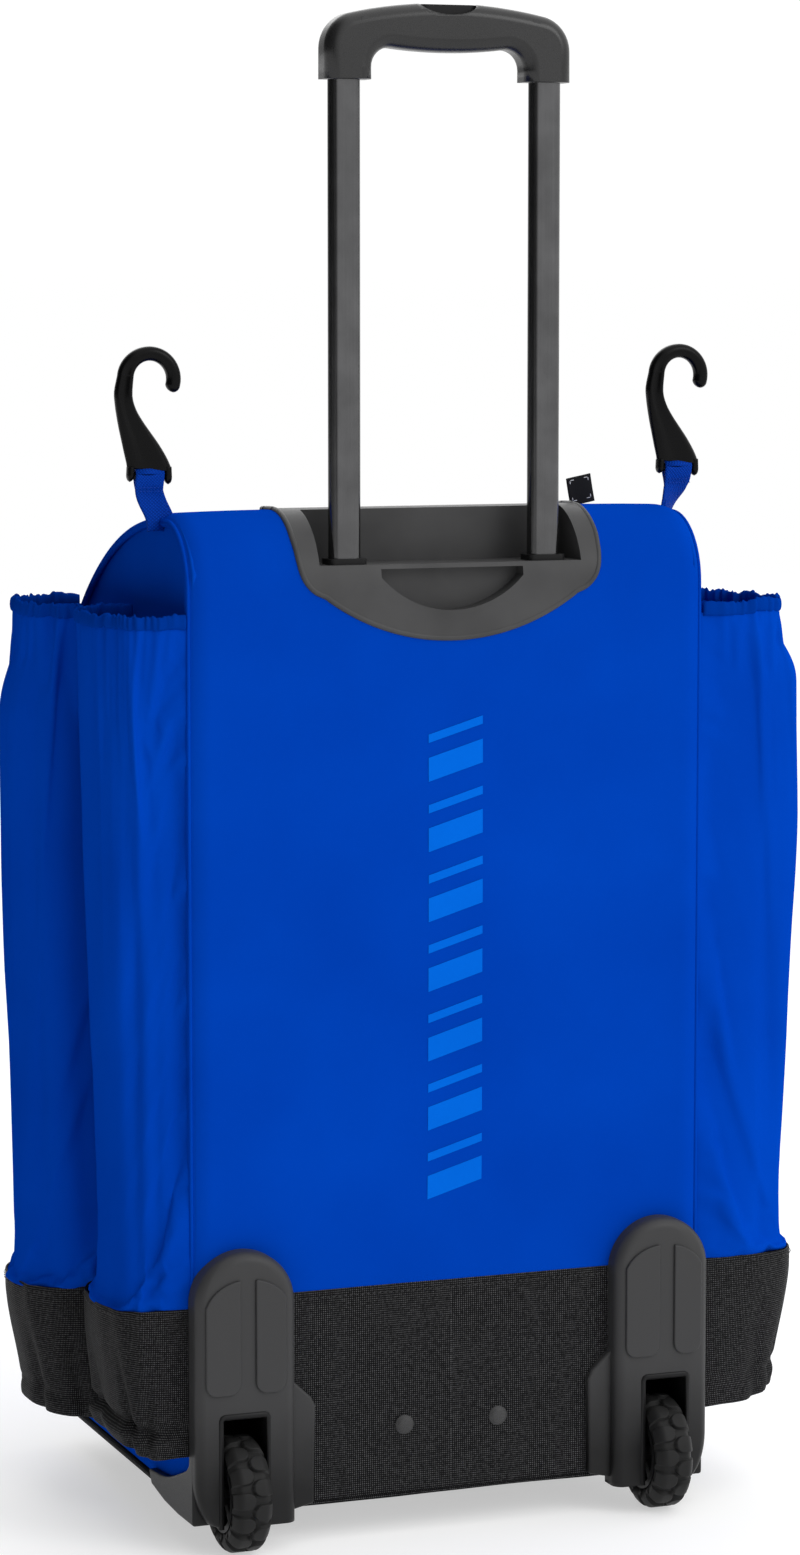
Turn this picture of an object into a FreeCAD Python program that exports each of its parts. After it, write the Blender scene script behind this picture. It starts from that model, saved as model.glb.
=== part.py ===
import FreeCAD, Part
import math
import os

os.makedirs("parts", exist_ok=True)
V = FreeCAD.Vector

# ---- driving dimensions, millimetres ----
# x runs across the bag, z is up, and y is the depth behind the rear panel's outer face while a
# piece is built. export() then moves every piece back by REAR_Y, to the row's own origin.
REAR_Y = -150.0
DEPTH = 320.0          # rear face to front face of the main compartment
BOTTOM_Z = 29.0        # underside of the bag above the floor
TOP_Z = 710.0
HALF_WIDTH = 190.0
WALL = 4.0             # padded fabric
CORNER_R = 52.0        # rear top corner
CROWN_R = 322.0        # the top, falling towards the front
CROWN_SWEEP = math.radians(36.0)
SILL_R = 26.0          # front bottom corner
GUSSET_OUT = 188.0     # outer face of the side gussets

BAND_TOP = 176.0       # top of the woven base band
TOP_PANEL_Z = 600.0    # seam hidden below the handle cup
DOOR_HALF = 160.0
DOOR_TOP_Y = 186.0
DOOR_BOTTOM_Z = 80.0
SEAM = 1.0             # gap between the door, or a wheel housing, and what it meets
POCKET_DEPTH = 20.0

MOUTH_Z = 642.0        # sleeve mouths
RIM_HIGH = 14.0
BELLY_Z = 460.0
SLEEVE_WALL = 3.0
BOOT_TOP = 157.0
BOOT_FLOOR = 60.0
SLEEVES = {            # side (-1 left, 1 right), depth range, bulge beyond the gusset
    "rear_sleeve_left": (-1, 4.0, 124.5, 66.0),
    "front_sleeve_left": (-1, 125.5, 250.0, 91.0),
    "rear_sleeve_right": (1, 4.0, 124.5, 91.0),
    "front_sleeve_right": (1, 125.5, 250.0, 80.0),
}

TUBE_X = 73.0          # trolley tube centres
TUBE_Y = 14.0
TUBE_WIDE = 22.5
TUBE_DEEP = 13.0
TUBE_GAP = 1.0         # between inner and outer tube
TUBE_WALL = 1.3
TUBE_ROUND = 6.2       # corners of the inner tube: nearly half round
FIT = 0.08             # running clearance, each side
TUBE_TOP = 1024.0
TUBE_END = 586.0       # lower end of the inner tubes, handle pulled out
OUTER_TOP = 664.0
OUTER_BOTTOM = 62.0
GRIP_BOTTOM = 1002.0
GRIP_TOP = 1054.0
GRIP_HALF = 89.0
GRIP_Y = (1.0, 27.0)

CUP_HALF = 110.0
CUP_FLOOR = 676.0
CUP_POCKET_HALF = 96.0
CUP_BACK = 40.0
CUP_WALL = 3.0
CUP_LIP = 3.5

WHEEL_R = 40.0
WHEEL_X = 157.0
TREAD_HALF = 14.0
WELL_HALF = 16.5
WELL_R = 44.0
AXLE_R = 3.0
HOUSING_X = (119.0, 191.0)
HOUSING_PROUD = 16.0
HOUSING_TOP = 211.0
HOUSING_BOTTOM = 20.0
HOUSING_DEEP = 50.0
HOUSING_INNER_TOP = 100.0
PAD_Z = (113.0, 194.0)  # raised pads on the housing's rear face
PAD_PROUD = 2.0
PADS = {               # distances from the housing's inner edge
    -1: ((8.0, 30.0), (41.0, 66.0)),
    1: ((7.0, 33.0), (44.0, 65.0)),
}

HOOK_Y = 63.0
HOOK_THICK = 9.0
HOOK_BAR_Z = 736.0
HOOK_BAR_R = 3.0
STRAP_HINGE_Z = 712.5
STRAP_WIDE = 20.0

LABEL_X = 130.0        # woven tab sewn to the top
LABEL_Y = 75.0
LABEL_TALL = 20.0


# ---- helpers ----
def box(x, y, z):
    return Part.makeBox(x[1] - x[0], y[1] - y[0], z[1] - z[0], V(x[0], y[0], z[0]))


def rod(radius, start, along):
    return Part.makeCylinder(radius, along.Length, start, along)


def edges_along(shape, direction):
    """The straight edges of a shape that run along one direction."""
    found = []
    for edge in shape.Edges:
        if edge.Curve.TypeId == "Part::GeomLine":
            if abs(edge.Curve.Direction.dot(direction)) > 0.9999:
                found.append(edge)
    return found


def soft_box(x, y, z, radius, direction):
    """A box whose edges along one direction are rounded."""
    block = box(x, y, z)
    return block.makeFillet(radius, edges_along(block, direction))


def arc(start, middle, end):
    return Part.Arc(start, middle, end).toShape()


def line(start, end):
    return Part.LineSegment(start, end).toShape()


def prism(edges, along):
    return Part.Face(Part.Wire(Part.__sortEdges__(edges))).extrude(along)


def mirrored(shape, side):
    """A piece drawn on the right-hand side (+x), placed on the given side."""
    return shape if side > 0 else shape.mirror(V(0, 0, 0), V(1, 0, 0))


def joined(shapes):
    first = shapes[0]
    return first.fuse(shapes[1:]).removeSplitter() if len(shapes) > 1 else first


def export(name, shape):
    placed = shape.copy()
    placed.translate(V(0, REAR_Y, 0))
    placed.exportStep("parts/" + name + ".step")


# ---- the bag's side outline ----
def on_circle(centre, radius, angle):
    """A point on a circle in the y-z plane; the angle runs from +z towards +y."""
    return centre + V(0, radius * math.sin(angle), radius * math.cos(angle))


def bag_solid(inset, half_width):
    """The whole bag's outline, moved inward by inset and extruded across the bag."""
    nose_r = (DEPTH - CORNER_R - CROWN_R * math.sin(CROWN_SWEEP)) / (1 - math.sin(CROWN_SWEEP))
    corner = V(0, CORNER_R, TOP_Z - CORNER_R)
    crown = V(0, CORNER_R, TOP_Z - CROWN_R)
    nose = on_circle(crown, CROWN_R - nose_r, CROWN_SWEEP)
    low = BOTTOM_Z + inset
    front = DEPTH - inset
    sill = V(0, DEPTH - SILL_R, BOTTOM_Z + SILL_R)
    quarter = math.pi / 2
    rounds = (
        (corner, CORNER_R, -quarter, 0.0),
        (crown, CROWN_R, 0.0, CROWN_SWEEP),
        (nose, nose_r, CROWN_SWEEP, quarter),
        (sill, SILL_R, quarter, 2 * quarter),
    )
    edges = []
    for centre, radius, first, last in rounds:
        ends = [on_circle(centre, radius - inset, a) for a in (first, (first + last) / 2, last)]
        edges.append(arc(*ends))
    rear_low = V(0, inset, low)
    edges.append(line(rear_low, on_circle(corner, CORNER_R - inset, -quarter)))
    edges.append(line(V(0, front, nose.z), V(0, front, sill.z)))
    edges.append(line(V(0, sill.y, low), rear_low))
    solid = prism(edges, V(2 * half_width, 0, 0))
    solid.translate(V(-half_width, 0, 0))
    return solid


def surface_z(y):
    """Height of the bag's top at a depth on the crown."""
    return TOP_Z - CROWN_R + math.sqrt(CROWN_R ** 2 - (y - CORNER_R) ** 2)


SHELL = bag_solid(0, HALF_WIDTH).cut(bag_solid(WALL, HALF_WIDTH + 1))


# ---- main compartment ----
def housing_room():
    """Space that both wheel housings take out of the bag's lower rear corners."""
    inner = HOUSING_X[0] - SEAM
    deep = HOUSING_DEEP + SEAM
    rooms = []
    for side in (-1, 1):
        room = box((inner, GUSSET_OUT + 5), (-1, deep), (BOTTOM_Z - 5, HOUSING_INNER_TOP + SEAM))
        rooms.append(mirrored(room, side))
    return joined(rooms)


def cup_room():
    """Space that the handle cup takes out of the rear and top panels."""
    half = CUP_POCKET_HALF + CUP_WALL + 0.5
    pocket = box((-half, half), (-5, CUP_BACK + CUP_WALL + 0.5), (CUP_FLOOR - 13, TOP_Z + 10))
    scoop = box((-59, 59), (-5, 15), (CUP_FLOOR - 44, CUP_FLOOR))
    return pocket.fuse(scoop)


def door_region(half, gap):
    """The part of the shell that the front door covers, less a gap all round."""
    bottom = DOOR_BOTTOM_Z + gap
    return box((-half + gap, half - gap), (DOOR_TOP_Y + gap, DEPTH + 50), (bottom, TOP_Z + 50))


def build_panels():
    wide = HALF_WIDTH + 1
    rear = SHELL.common(box((-wide, wide), (-1, WALL), (BAND_TOP, TOP_PANEL_Z)))
    export("rear_panel", rear)
    top = SHELL.common(box((-wide, wide), (-1, DOOR_TOP_Y), (TOP_PANEL_Z, TOP_Z + 1)))
    export("top_panel", top.cut(cup_room()))
    band = SHELL.common(box((-wide, wide), (-1, WALL), (BOTTOM_Z, BAND_TOP)))
    export("base_band", band.cut(housing_room()))
    floor_end = DEPTH - SILL_R
    base = SHELL.common(box((-GUSSET_OUT, GUSSET_OUT), (WALL, floor_end), (BOTTOM_Z - 1, BOTTOM_Z + WALL)))
    export("base_panel", base.cut(housing_room()))
    sill = SHELL.common(box((-wide, wide), (floor_end, DEPTH + 1), (BOTTOM_Z - 1, DOOR_BOTTOM_Z)))
    export("front_sill", sill)
    back = box((-180, 180), (28, 31), (HOUSING_INNER_TOP + 5, CUP_FLOOR - 58))
    export("back_board", back)


def build_gussets():
    thick = GUSSET_OUT - 184.0
    plate = bag_solid(WALL, thick / 2)
    for side, name in ((-1, "gusset_left"), (1, "gusset_right")):
        gusset = plate.copy()
        gusset.translate(V(side * (GUSSET_OUT - thick / 2), 0, 0))
        export(name, gusset.cut(housing_room()))


def build_front():
    export("front_door", SHELL.common(door_region(DOOR_HALF, SEAM)))
    for side, name in ((-1, "front_frame_left"), (1, "front_frame_right")):
        x = sorted((side * DOOR_HALF, side * GUSSET_OUT))
        strip = box(x, (DOOR_TOP_Y, DEPTH + 1), (DOOR_BOTTOM_Z, TOP_Z))
        export(name, SHELL.common(strip))
    pocket = box((-128, 128), (DEPTH, DEPTH + POCKET_DEPTH), (120, 400))
    rounded = [e for e in pocket.Edges if e.CenterOfMass.y > DEPTH + 1]
    export("front_pocket", pocket.makeFillet(12, rounded))
    proud = bag_solid(-1.2, HALF_WIDTH).cut(bag_solid(0, HALF_WIDTH + 1))
    track = proud.common(door_region(DOOR_HALF + 8, 0).fuse(
        box((-DOOR_HALF - 8, DOOR_HALF + 8), (DOOR_TOP_Y - 8, DEPTH), (500, TOP_Z + 5))))
    export("zip_track", track.cut(door_region(DOOR_HALF, 0)))


# ---- front zipper: two sliders that meet at the top centre ----
ZIP_Y = DOOR_TOP_Y - 7.0
PULL_PIVOT = 5.9       # pull's hinge pin above the fabric
ZIP_TILT = math.degrees(math.asin((ZIP_Y - CORNER_R) / CROWN_R))


def on_crown(shape):
    """Turn a piece drawn flat at the origin to lie on the bag's top at the zipper."""
    shape.rotate(V(0, 0, 0), V(1, 0, 0), -ZIP_TILT)
    shape.translate(V(0, ZIP_Y, surface_z(ZIP_Y)))
    return shape


def build_zipper():
    for side, word in ((-1, "left"), (1, "right")):
        x = sorted((side * 1.0, side * 13.0))
        body = soft_box(x, (-4.5, 4.5), (1.6, 5.0), 2.0, V(0, 0, 1))
        middle = sum(x) / 2
        bridge = box((middle - 2, middle + 2), (-4, 4), (5, 8.2))
        bridge = bridge.cut(box((middle - 3, middle + 3), (-2.2, 2.2), (4, 6.8)))
        export("zip_slider_" + word, on_crown(body.fuse(bridge).removeSplitter()))
        tab = box((middle - 5, middle + 5), (-34, 0.6), (5.3, 6.5))
        ends = [e for e in edges_along(tab, V(0, 0, 1)) if e.CenterOfMass.y < -30]
        tab = tab.makeFillet(2.0, ends)
        window = box((middle - 2.4, middle + 2.4), (-6.5, 1), (5, 7))
        pin = rod(0.6, V(middle - 3, 0, PULL_PIVOT), V(6, 0, 0))
        export("zip_pull_" + word, on_crown(tab.cut(window).fuse(pin).removeSplitter()))


# ---- bat sleeves on both sides ----
def sleeve_outline(z, bulge, y0, y1, inset):
    """D-shaped outline of a sleeve at one height: open or flat against the gusset."""
    back = GUSSET_OUT - (1 if inset else 0)
    out = GUSSET_OUT + bulge - inset
    near = y0 + inset
    far = y1 - inset
    r = 0.8 * min(bulge, (y1 - y0) / 2) - inset
    cut = r * (1 - math.sqrt(0.5))
    edges = [
        line(V(back, near, z), V(out - r, near, z)),
        arc(V(out - r, near, z), V(out - cut, near + cut, z), V(out, near + r, z)),
        line(V(out, near + r, z), V(out, far - r, z)),
        arc(V(out, far - r, z), V(out - cut, far - cut, z), V(out - r, far, z)),
        line(V(out - r, far, z), V(back, far, z)),
        line(V(back, far, z), V(back, near, z)),
    ]
    return Part.Wire(edges)


def sleeve_wall(levels, y0, y1, wall):
    """A C-shaped wall through (height, bulge) levels, open against the gusset."""
    outer = Part.makeLoft([sleeve_outline(z, b, y0, y1, 0) for z, b in levels], True, True)
    low = (levels[0][0] - 1, levels[0][1])
    high = (levels[-1][0] + 1, levels[-1][1])
    inner_levels = [low] + levels[1:-1] + [high]
    inner = Part.makeLoft([sleeve_outline(z, b, y0, y1, wall) for z, b in inner_levels], True, True)
    return outer.cut(inner)


def build_sleeves():
    rims = {-1: [], 1: []}
    for name, (side, y0, y1, bulge) in SLEEVES.items():
        mouth = 0.86 * bulge
        wall = sleeve_wall([(BOOT_TOP, bulge), (BELLY_Z, bulge), (MOUTH_Z, mouth)], y0, y1, SLEEVE_WALL)
        export(name, mirrored(wall, side))
        foot = 0.8 * bulge
        boot = sleeve_wall([(BOOT_FLOOR, foot), (BOOT_TOP, bulge)], y0, y1, SLEEVE_WALL)
        sole = Part.Face(sleeve_outline(BOOT_FLOOR, foot, y0, y1, 0)).extrude(V(0, 0, -SLEEVE_WALL))
        export(name.replace("sleeve", "boot"), mirrored(boot.fuse(sole).removeSplitter(), side))
        rim = sleeve_wall([(MOUTH_Z, mouth + 1), (MOUTH_Z + RIM_HIGH, mouth + 1)], y0, y1, SLEEVE_WALL + 3)
        rims[side].append(mirrored(rim, side))
    export("mouth_rims_left", Part.makeCompound(rims[-1]))
    export("mouth_rims_right", Part.makeCompound(rims[1]))


# ---- trolley handle ----
def tube_block(x, wide, deep, z, radius):
    y = (TUBE_Y - deep / 2, TUBE_Y + deep / 2)
    return soft_box((x - wide / 2, x + wide / 2), y, z, radius, V(0, 0, 1))


def build_tubes():
    inner_size = (TUBE_WIDE + 2 * TUBE_GAP, TUBE_DEEP + 2 * TUBE_GAP)
    pin_z = TUBE_END - 13.0
    bushes = []
    for side, word in ((-1, "left"), (1, "right")):
        x = side * TUBE_X
        outer = tube_block(x, inner_size[0] + 3, inner_size[1] + 3, (OUTER_BOTTOM, OUTER_TOP), 4.5)
        bore = tube_block(x, *inner_size, (OUTER_BOTTOM - 1, OUTER_TOP + 1), 3.0)
        lock_hole = rod(3.4, V(x, TUBE_Y, pin_z), V(side * 20, 0, 0))
        export("outer_tube_" + word, outer.cut(bore).cut(lock_hole))

        tube = tube_block(x, TUBE_WIDE, TUBE_DEEP, (TUBE_END, TUBE_TOP), TUBE_ROUND)
        hollow = tube_block(x, TUBE_WIDE - 2 * TUBE_WALL, TUBE_DEEP - 2 * TUBE_WALL,
                            (TUBE_END - 1, TUBE_TOP + 1), TUBE_ROUND - TUBE_WALL)
        export("inner_tube_" + word, tube.cut(hollow))

        bush = tube_block(x, 28, 19, (OUTER_TOP, CUP_FLOOR + 4), 4.5)
        bush_bore = tube_block(x, TUBE_WIDE + 2 * FIT, TUBE_DEEP + 2 * FIT,
                               (OUTER_TOP - 1, CUP_FLOOR + 5), TUBE_ROUND + FIT)
        bushes.append(bush.cut(bush_bore))

        slider = tube_block(x, inner_size[0] - 2 * FIT, inner_size[1] - 2 * FIT,
                            (TUBE_END - 26, TUBE_END), 2.9)
        plug = tube_block(x, TUBE_WIDE - 2 * TUBE_WALL, TUBE_DEEP - 2 * TUBE_WALL,
                          (TUBE_END, TUBE_END + 20), TUBE_ROUND - TUBE_WALL)
        pin_bore = rod(3.05, V(x - side * 3, TUBE_Y, pin_z), V(side * 20, 0, 0))
        export("slider_block_" + word, slider.fuse(plug).removeSplitter().cut(pin_bore))
        pin = rod(3.0, V(x + side * 2.5, TUBE_Y, pin_z), V(side * 9.5, 0, 0))
        export("lock_pin_" + word, pin)
    export("tube_bushes", Part.makeCompound(bushes))
    foot = box((-95, 95), (5, 23), (36, OUTER_BOTTOM))
    boss = box((-57, 57), (5, 23), (OUTER_BOTTOM - 1, 92))
    rivet_holes = [rod(2.5, V(x, 4, 77), V(0, 8, 0)) for x in (-35, 35)]
    export("lower_bracket", foot.fuse(boss).removeSplitter().cut(rivet_holes))


def build_bracket_rivets():
    rivets = []
    for x in (-35, 35):
        head = Part.makeCone(6.5, 4.5, 3, V(x, 0, 77), V(0, -1, 0))
        shank = rod(2.5, V(x, WALL, 77), V(0, 8, 0))
        rivets.append(head)
        rivets.append(shank)
    export("bracket_rivets", Part.makeCompound(rivets))


def grip_outline():
    """Front view of the grip: two collars, an arched top and a slightly bellied underside."""
    right = []
    bar_end = 67.0
    shoulder = GRIP_TOP - 7
    low = GRIP_BOTTOM
    right.append(arc(V(bar_end, 0, shoulder), V(82.5, 0, shoulder - 6.5), V(GRIP_HALF, 0, shoulder - 22)))
    right.append(line(V(GRIP_HALF, 0, shoulder - 22), V(GRIP_HALF, 0, low)))
    right.append(line(V(GRIP_HALF, 0, low), V(55.5, 0, low)))
    right.append(line(V(55.5, 0, low), V(55.5, 0, low + 8)))
    right.append(arc(V(55.5, 0, low + 8), V(51.5, 0, low + 17.5), V(42, 0, low + 21.5)))
    left = [edge.mirror(V(0, 0, 0), V(1, 0, 0)) for edge in right]
    top = arc(V(-bar_end, 0, shoulder), V(0, 0, GRIP_TOP), V(bar_end, 0, shoulder))
    under = arc(V(-42, 0, low + 21.5), V(0, 0, low + 19.6), V(42, 0, low + 21.5))
    return right + left + [top, under]


def build_grip():
    y0, y1 = GRIP_Y
    block = prism(grip_outline(), V(0, y1 - y0, 0))
    block.translate(V(0, y0, 0))
    slot = box((-15, 15), (TUBE_Y - 7.3, TUBE_Y + 7.3), (GRIP_TOP - 14, GRIP_TOP + 10))
    ends = [Part.makeCylinder(7.3, 30, V(x, TUBE_Y, GRIP_TOP - 14)) for x in (-15, 15)]
    block = block.cut([slot] + ends)
    chamber = box((-TUBE_X - 8, TUBE_X + 8), (TUBE_Y - 5, TUBE_Y + 5), (TUBE_TOP + 2, GRIP_TOP - 12))
    sockets = []
    for side in (-1, 1):
        socket_z = (GRIP_BOTTOM - 1, TUBE_TOP)
        sockets.append(tube_block(side * TUBE_X, TUBE_WIDE, TUBE_DEEP, socket_z, TUBE_ROUND))
        sockets.append(rod(2.6, V(side * TUBE_X, TUBE_Y, TUBE_TOP - 1), V(0, 0, 6)))
    screw_x = (-62.0, 62.0)
    bores = [rod(1.6, V(x, y0 - 1, TUBE_TOP + 17), V(0, 20, 0)) for x in screw_x]
    seats = [rod(3.2, V(x, y0 - 1, TUBE_TOP + 17), V(0, 3.5, 0)) for x in screw_x]
    block = block.cut([chamber] + sockets + bores + seats)
    wide = GRIP_HALF + 1
    halves = (("grip_rear_shell", (y0 - 1, TUBE_Y)), ("grip_front_shell", (TUBE_Y, y1 + 1)))
    for name, y in halves:
        export(name, block.common(box((-wide, wide), y, (GRIP_BOTTOM - 1, GRIP_TOP + 1))))
    screws = []
    for x in screw_x:
        head = rod(3.0, V(x, y0 + 0.4, TUBE_TOP + 17), V(0, 2.1, 0))
        shank = rod(1.6, V(x, y0 + 2.5, TUBE_TOP + 17), V(0, 14, 0))
        screws.append(head.fuse(shank).removeSplitter())
    export("grip_screws", Part.makeCompound(screws))


def build_button():
    """Release button with the linkage that it pushes down both tubes."""
    low = GRIP_TOP - 8.5
    cap = box((-15, 15), (TUBE_Y - 7, TUBE_Y + 7), (low, GRIP_TOP - 1.2))
    ends = [Part.makeCylinder(7, GRIP_TOP - 1.2 - low, V(x, TUBE_Y, low)) for x in (-15, 15)]
    stem = box((-10, 10), (TUBE_Y - 4, TUBE_Y + 4), (TUBE_TOP + 13, low))
    export("release_button", joined([cap] + ends + [stem]))
    bridge = box((-TUBE_X - 5, TUBE_X + 5), (TUBE_Y - 3.5, TUBE_Y + 3.5), (TUBE_TOP + 7, TUBE_TOP + 13))
    export("push_bridge", bridge)
    rods = [rod(2.0, V(x, TUBE_Y, TUBE_END + 26), V(0, 0, TUBE_TOP + 7 - TUBE_END - 26))
            for x in (-TUBE_X, TUBE_X)]
    export("push_rods", Part.makeCompound(rods))


# ---- moulded cup that the handle drops into ----
def cup_outline():
    """Rear view of the cup's flange: a wide arc below, two ears above."""
    ear = V(CUP_HALF, 0, CUP_FLOOR + 4)
    low = V(92, 0, CUP_FLOOR - 20.7)
    bend = V(105, 0, CUP_FLOOR - 12)
    top_z = TOP_Z + 20
    right = [arc(low, bend, ear), line(ear, V(CUP_HALF + 2, 0, top_z))]
    left = [edge.mirror(V(0, 0, 0), V(1, 0, 0)) for edge in right]
    bottom = arc(V(-low.x, 0, low.z), V(0, 0, CUP_FLOOR - 51), low)
    top = line(V(-CUP_HALF - 2, 0, top_z), V(CUP_HALF + 2, 0, top_z))
    return right + left + [bottom, top]


def build_cup():
    region = prism(cup_outline(), V(0, CUP_BACK + CUP_WALL + 14, 0))
    region.translate(V(0, -10, 0))
    lip = bag_solid(-CUP_LIP, HALF_WIDTH).cut(bag_solid(0, HALF_WIDTH + 1)).common(region)
    half = CUP_POCKET_HALF + CUP_WALL
    tub = box((-half, half), (0, CUP_BACK + CUP_WALL), (CUP_FLOOR - 4, TOP_Z + 4))
    bag = bag_solid(-CUP_LIP, HALF_WIDTH)
    scoop_body = box((-58, 58), (0, 14), (CUP_FLOOR - 43, CUP_FLOOR))
    pocket = box((-CUP_POCKET_HALF, CUP_POCKET_HALF), (-20, CUP_BACK), (CUP_FLOOR, TOP_Z + 40))
    scoop = Part.makeCylinder(70, 60, V(0, -20, CUP_FLOOR + 38), V(0, 1, 0))
    scoop = scoop.common(box((-52, 52), (-20, 10), (CUP_FLOOR - 40, CUP_FLOOR - 3)))
    cup = joined([lip, tub.common(bag), scoop_body])
    holes = [tube_block(x, 28, 19, (CUP_FLOOR - 20, CUP_FLOOR + 1), 4.5) for x in (-TUBE_X, TUBE_X)]
    export("handle_cup", cup.cut([pocket, scoop] + holes))


# ---- wheels and their housings ----
def build_housings():
    x0, x1 = HOUSING_X
    radius = (x1 - x0) / 2
    middle = (x0 + x1) / 2
    spring = HOUSING_TOP - radius
    back = HOUSING_PROUD
    low = HOUSING_BOTTOM
    arch = [
        line(V(x0, 0, low), V(x0, 0, spring)),
        arc(V(x0, 0, spring), V(middle, 0, HOUSING_TOP), V(x1, 0, spring)),
        line(V(x1, 0, spring), V(x1, 0, low)),
        line(V(x1, 0, low), V(x0, 0, low)),
    ]
    block = prism(arch, V(0, -back, 0))
    rear_edges = [e for e in block.Edges if abs(e.CenterOfMass.y + back) < 0.01]
    rear_edges = [e for e in rear_edges if e.CenterOfMass.z > low + 1]
    block = block.makeFillet(7.0, rear_edges)
    inner = box((x0, GUSSET_OUT - 4.5), (0, HOUSING_DEEP), (BOTTOM_Z, HOUSING_INNER_TOP))
    wing = prism([
        line(V(102, 0, 41), V(102, 0, 101)),
        line(V(102, 0, 101), V(x0, 0, 118)),
        line(V(x0, 0, 118), V(x0, 0, 30)),
        line(V(x0, 0, 30), V(102, 0, 41)),
    ], V(0, -5, 0))
    guard = prism([
        line(V(0, 0, low), V(0, 0, 56)),
        arc(V(0, 0, 56), V(0, 30, 50), V(0, 61, 40)),
        line(V(0, 61, 40), V(0, 96, 36)),
        line(V(0, 96, 36), V(0, 96, low + 4)),
        line(V(0, 96, low + 4), V(0, 0, low)),
    ], V(3, 0, 0))
    guard.translate(V(GUSSET_OUT, 0, 0))
    well = rod(WELL_R, V(WHEEL_X - WELL_HALF, 0, WHEEL_R), V(2 * WELL_HALF, 0, 0))
    window = box((WHEEL_X - WELL_HALF, WHEEL_X + WELL_HALF), (-back - 5, WELL_R), (low - 5, WHEEL_R))
    slot = box((WHEEL_X - WELL_HALF, WHEEL_X + WELL_HALF), (-back - 5, 0), (low - 5, 98))
    axle = rod(AXLE_R, V(x0 + 12, 0, WHEEL_R), V(x1 - x0 - 12, 0, 0))
    rivets = []
    for side, word in ((-1, "left"), (1, "right")):
        pads = []
        for near, far in PADS[side]:
            pad = soft_box((x0 + near, x0 + far), (-back - PAD_PROUD, -back + 4), PAD_Z, 8, V(0, 1, 0))
            pads.append(pad)
        housing = joined([block, inner, wing, guard] + pads).cut([well, window, slot, axle])
        export("wheel_housing_" + word, mirrored(housing, side))
        export("axle_" + word, mirrored(axle, side))
        for z in (50.0, 92.0):
            head = Part.makeCone(4.0, 2.8, 1.8, V(110, WALL, z), V(0, 1, 0))
            rivets.append(mirrored(head, side))
    export("housing_rivets", Part.makeCompound(rivets))


def build_wheels():
    count = 20
    hub_r = 26.0
    carcass_r = 35.0
    axis = V(1, 0, 0)
    start = V(WHEEL_X - TREAD_HALF, 0, WHEEL_R)
    carcass = rod(carcass_r, start, axis * (2 * TREAD_HALF))
    lugs = []
    for number in range(count):
        outward = sorted((WHEEL_X, WHEEL_X + TREAD_HALF * (1 if number % 2 else -1)))
        reach = (outward[0] - (2 if number % 2 else 0), outward[1] + (0 if number % 2 else 2))
        lug = box(reach, (-5.2, 5.2), (WHEEL_R + carcass_r - 2, WHEEL_R + WHEEL_R + 1))
        lug.rotate(V(0, 0, WHEEL_R), axis, 180 + 360 * number / count)
        lugs.append(lug)
    crown = rod(WHEEL_R, start, axis * (2 * TREAD_HALF))
    tyre = joined([carcass] + lugs).common(crown)
    tyre = tyre.cut(rod(hub_r, start - axis, axis * (2 * TREAD_HALF + 2)))
    rim = rod(hub_r, start + axis, axis * (2 * TREAD_HALF - 2))
    rim = rim.cut(rod(hub_r - 4, start, axis * (2 * TREAD_HALF)))
    boss = rod(8.0, start + axis, axis * (2 * TREAD_HALF - 2))
    web = []
    for number in range(5):
        spoke = box((WHEEL_X - 10, WHEEL_X + 10), (-3, 3), (WHEEL_R + 6, WHEEL_R + hub_r - 2))
        spoke.rotate(V(0, 0, WHEEL_R), axis, 72 * number)
        web.append(spoke)
    disc = rod(hub_r - 2, V(WHEEL_X - 2, 0, WHEEL_R), axis * 4)
    hub = joined([rim, boss, disc] + web)
    hub = hub.cut(rod(AXLE_R + 0.05, start - axis * 2, axis * (2 * TREAD_HALF + 4)))
    for side, word in ((-1, "left"), (1, "right")):
        export("wheel_tyre_" + word, mirrored(tyre, side))
        export("wheel_hub_" + word, mirrored(hub, side))


def build_feet():
    feet = []
    for side in (-1, 1):
        foot = Part.makeCone(15, 19, BOTTOM_Z, V(side * 110, 268, 0))
        feet.append(foot)
    export("front_feet", Part.makeCompound(feet))


# ---- fence hooks on webbing ----
def hook_outline(ring, base_left, base_right):
    """A round crook that opens to +x, and an arm that widens to its base."""
    outer = 22.0
    inner = 11.7

    def at(radius, angle):
        return ring + V(radius * math.cos(math.radians(angle)), 0, radius * math.sin(math.radians(angle)))

    left_out = V(base_left.x - 9.5, 0, ring.z - 10)
    left_in = V(left_out.x + 12.5, 0, ring.z - 12)
    arm_out = Part.BSplineCurve()
    arm_out.interpolate([at(outer, 160), left_out, V(base_left.x - 6, 0, ring.z - 38), base_left])
    arm_in = Part.BSplineCurve()
    arm_in.interpolate([at(inner, 170), left_in, V(base_right.x - 15, 0, ring.z - 36), base_right])
    tip_out = at(outer, -18)
    tip_in = at(inner, -18)
    tip_end = at((outer + inner) / 2, -40)
    return [
        arc(at(outer, 160), at(outer, 70), tip_out),
        arc(tip_out, tip_end, tip_in),
        arc(tip_in, at(inner, 80), at(inner, 170)),
        arm_in.toShape(),
        line(base_right, base_left),
        arm_out.toShape(),
    ]


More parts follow.
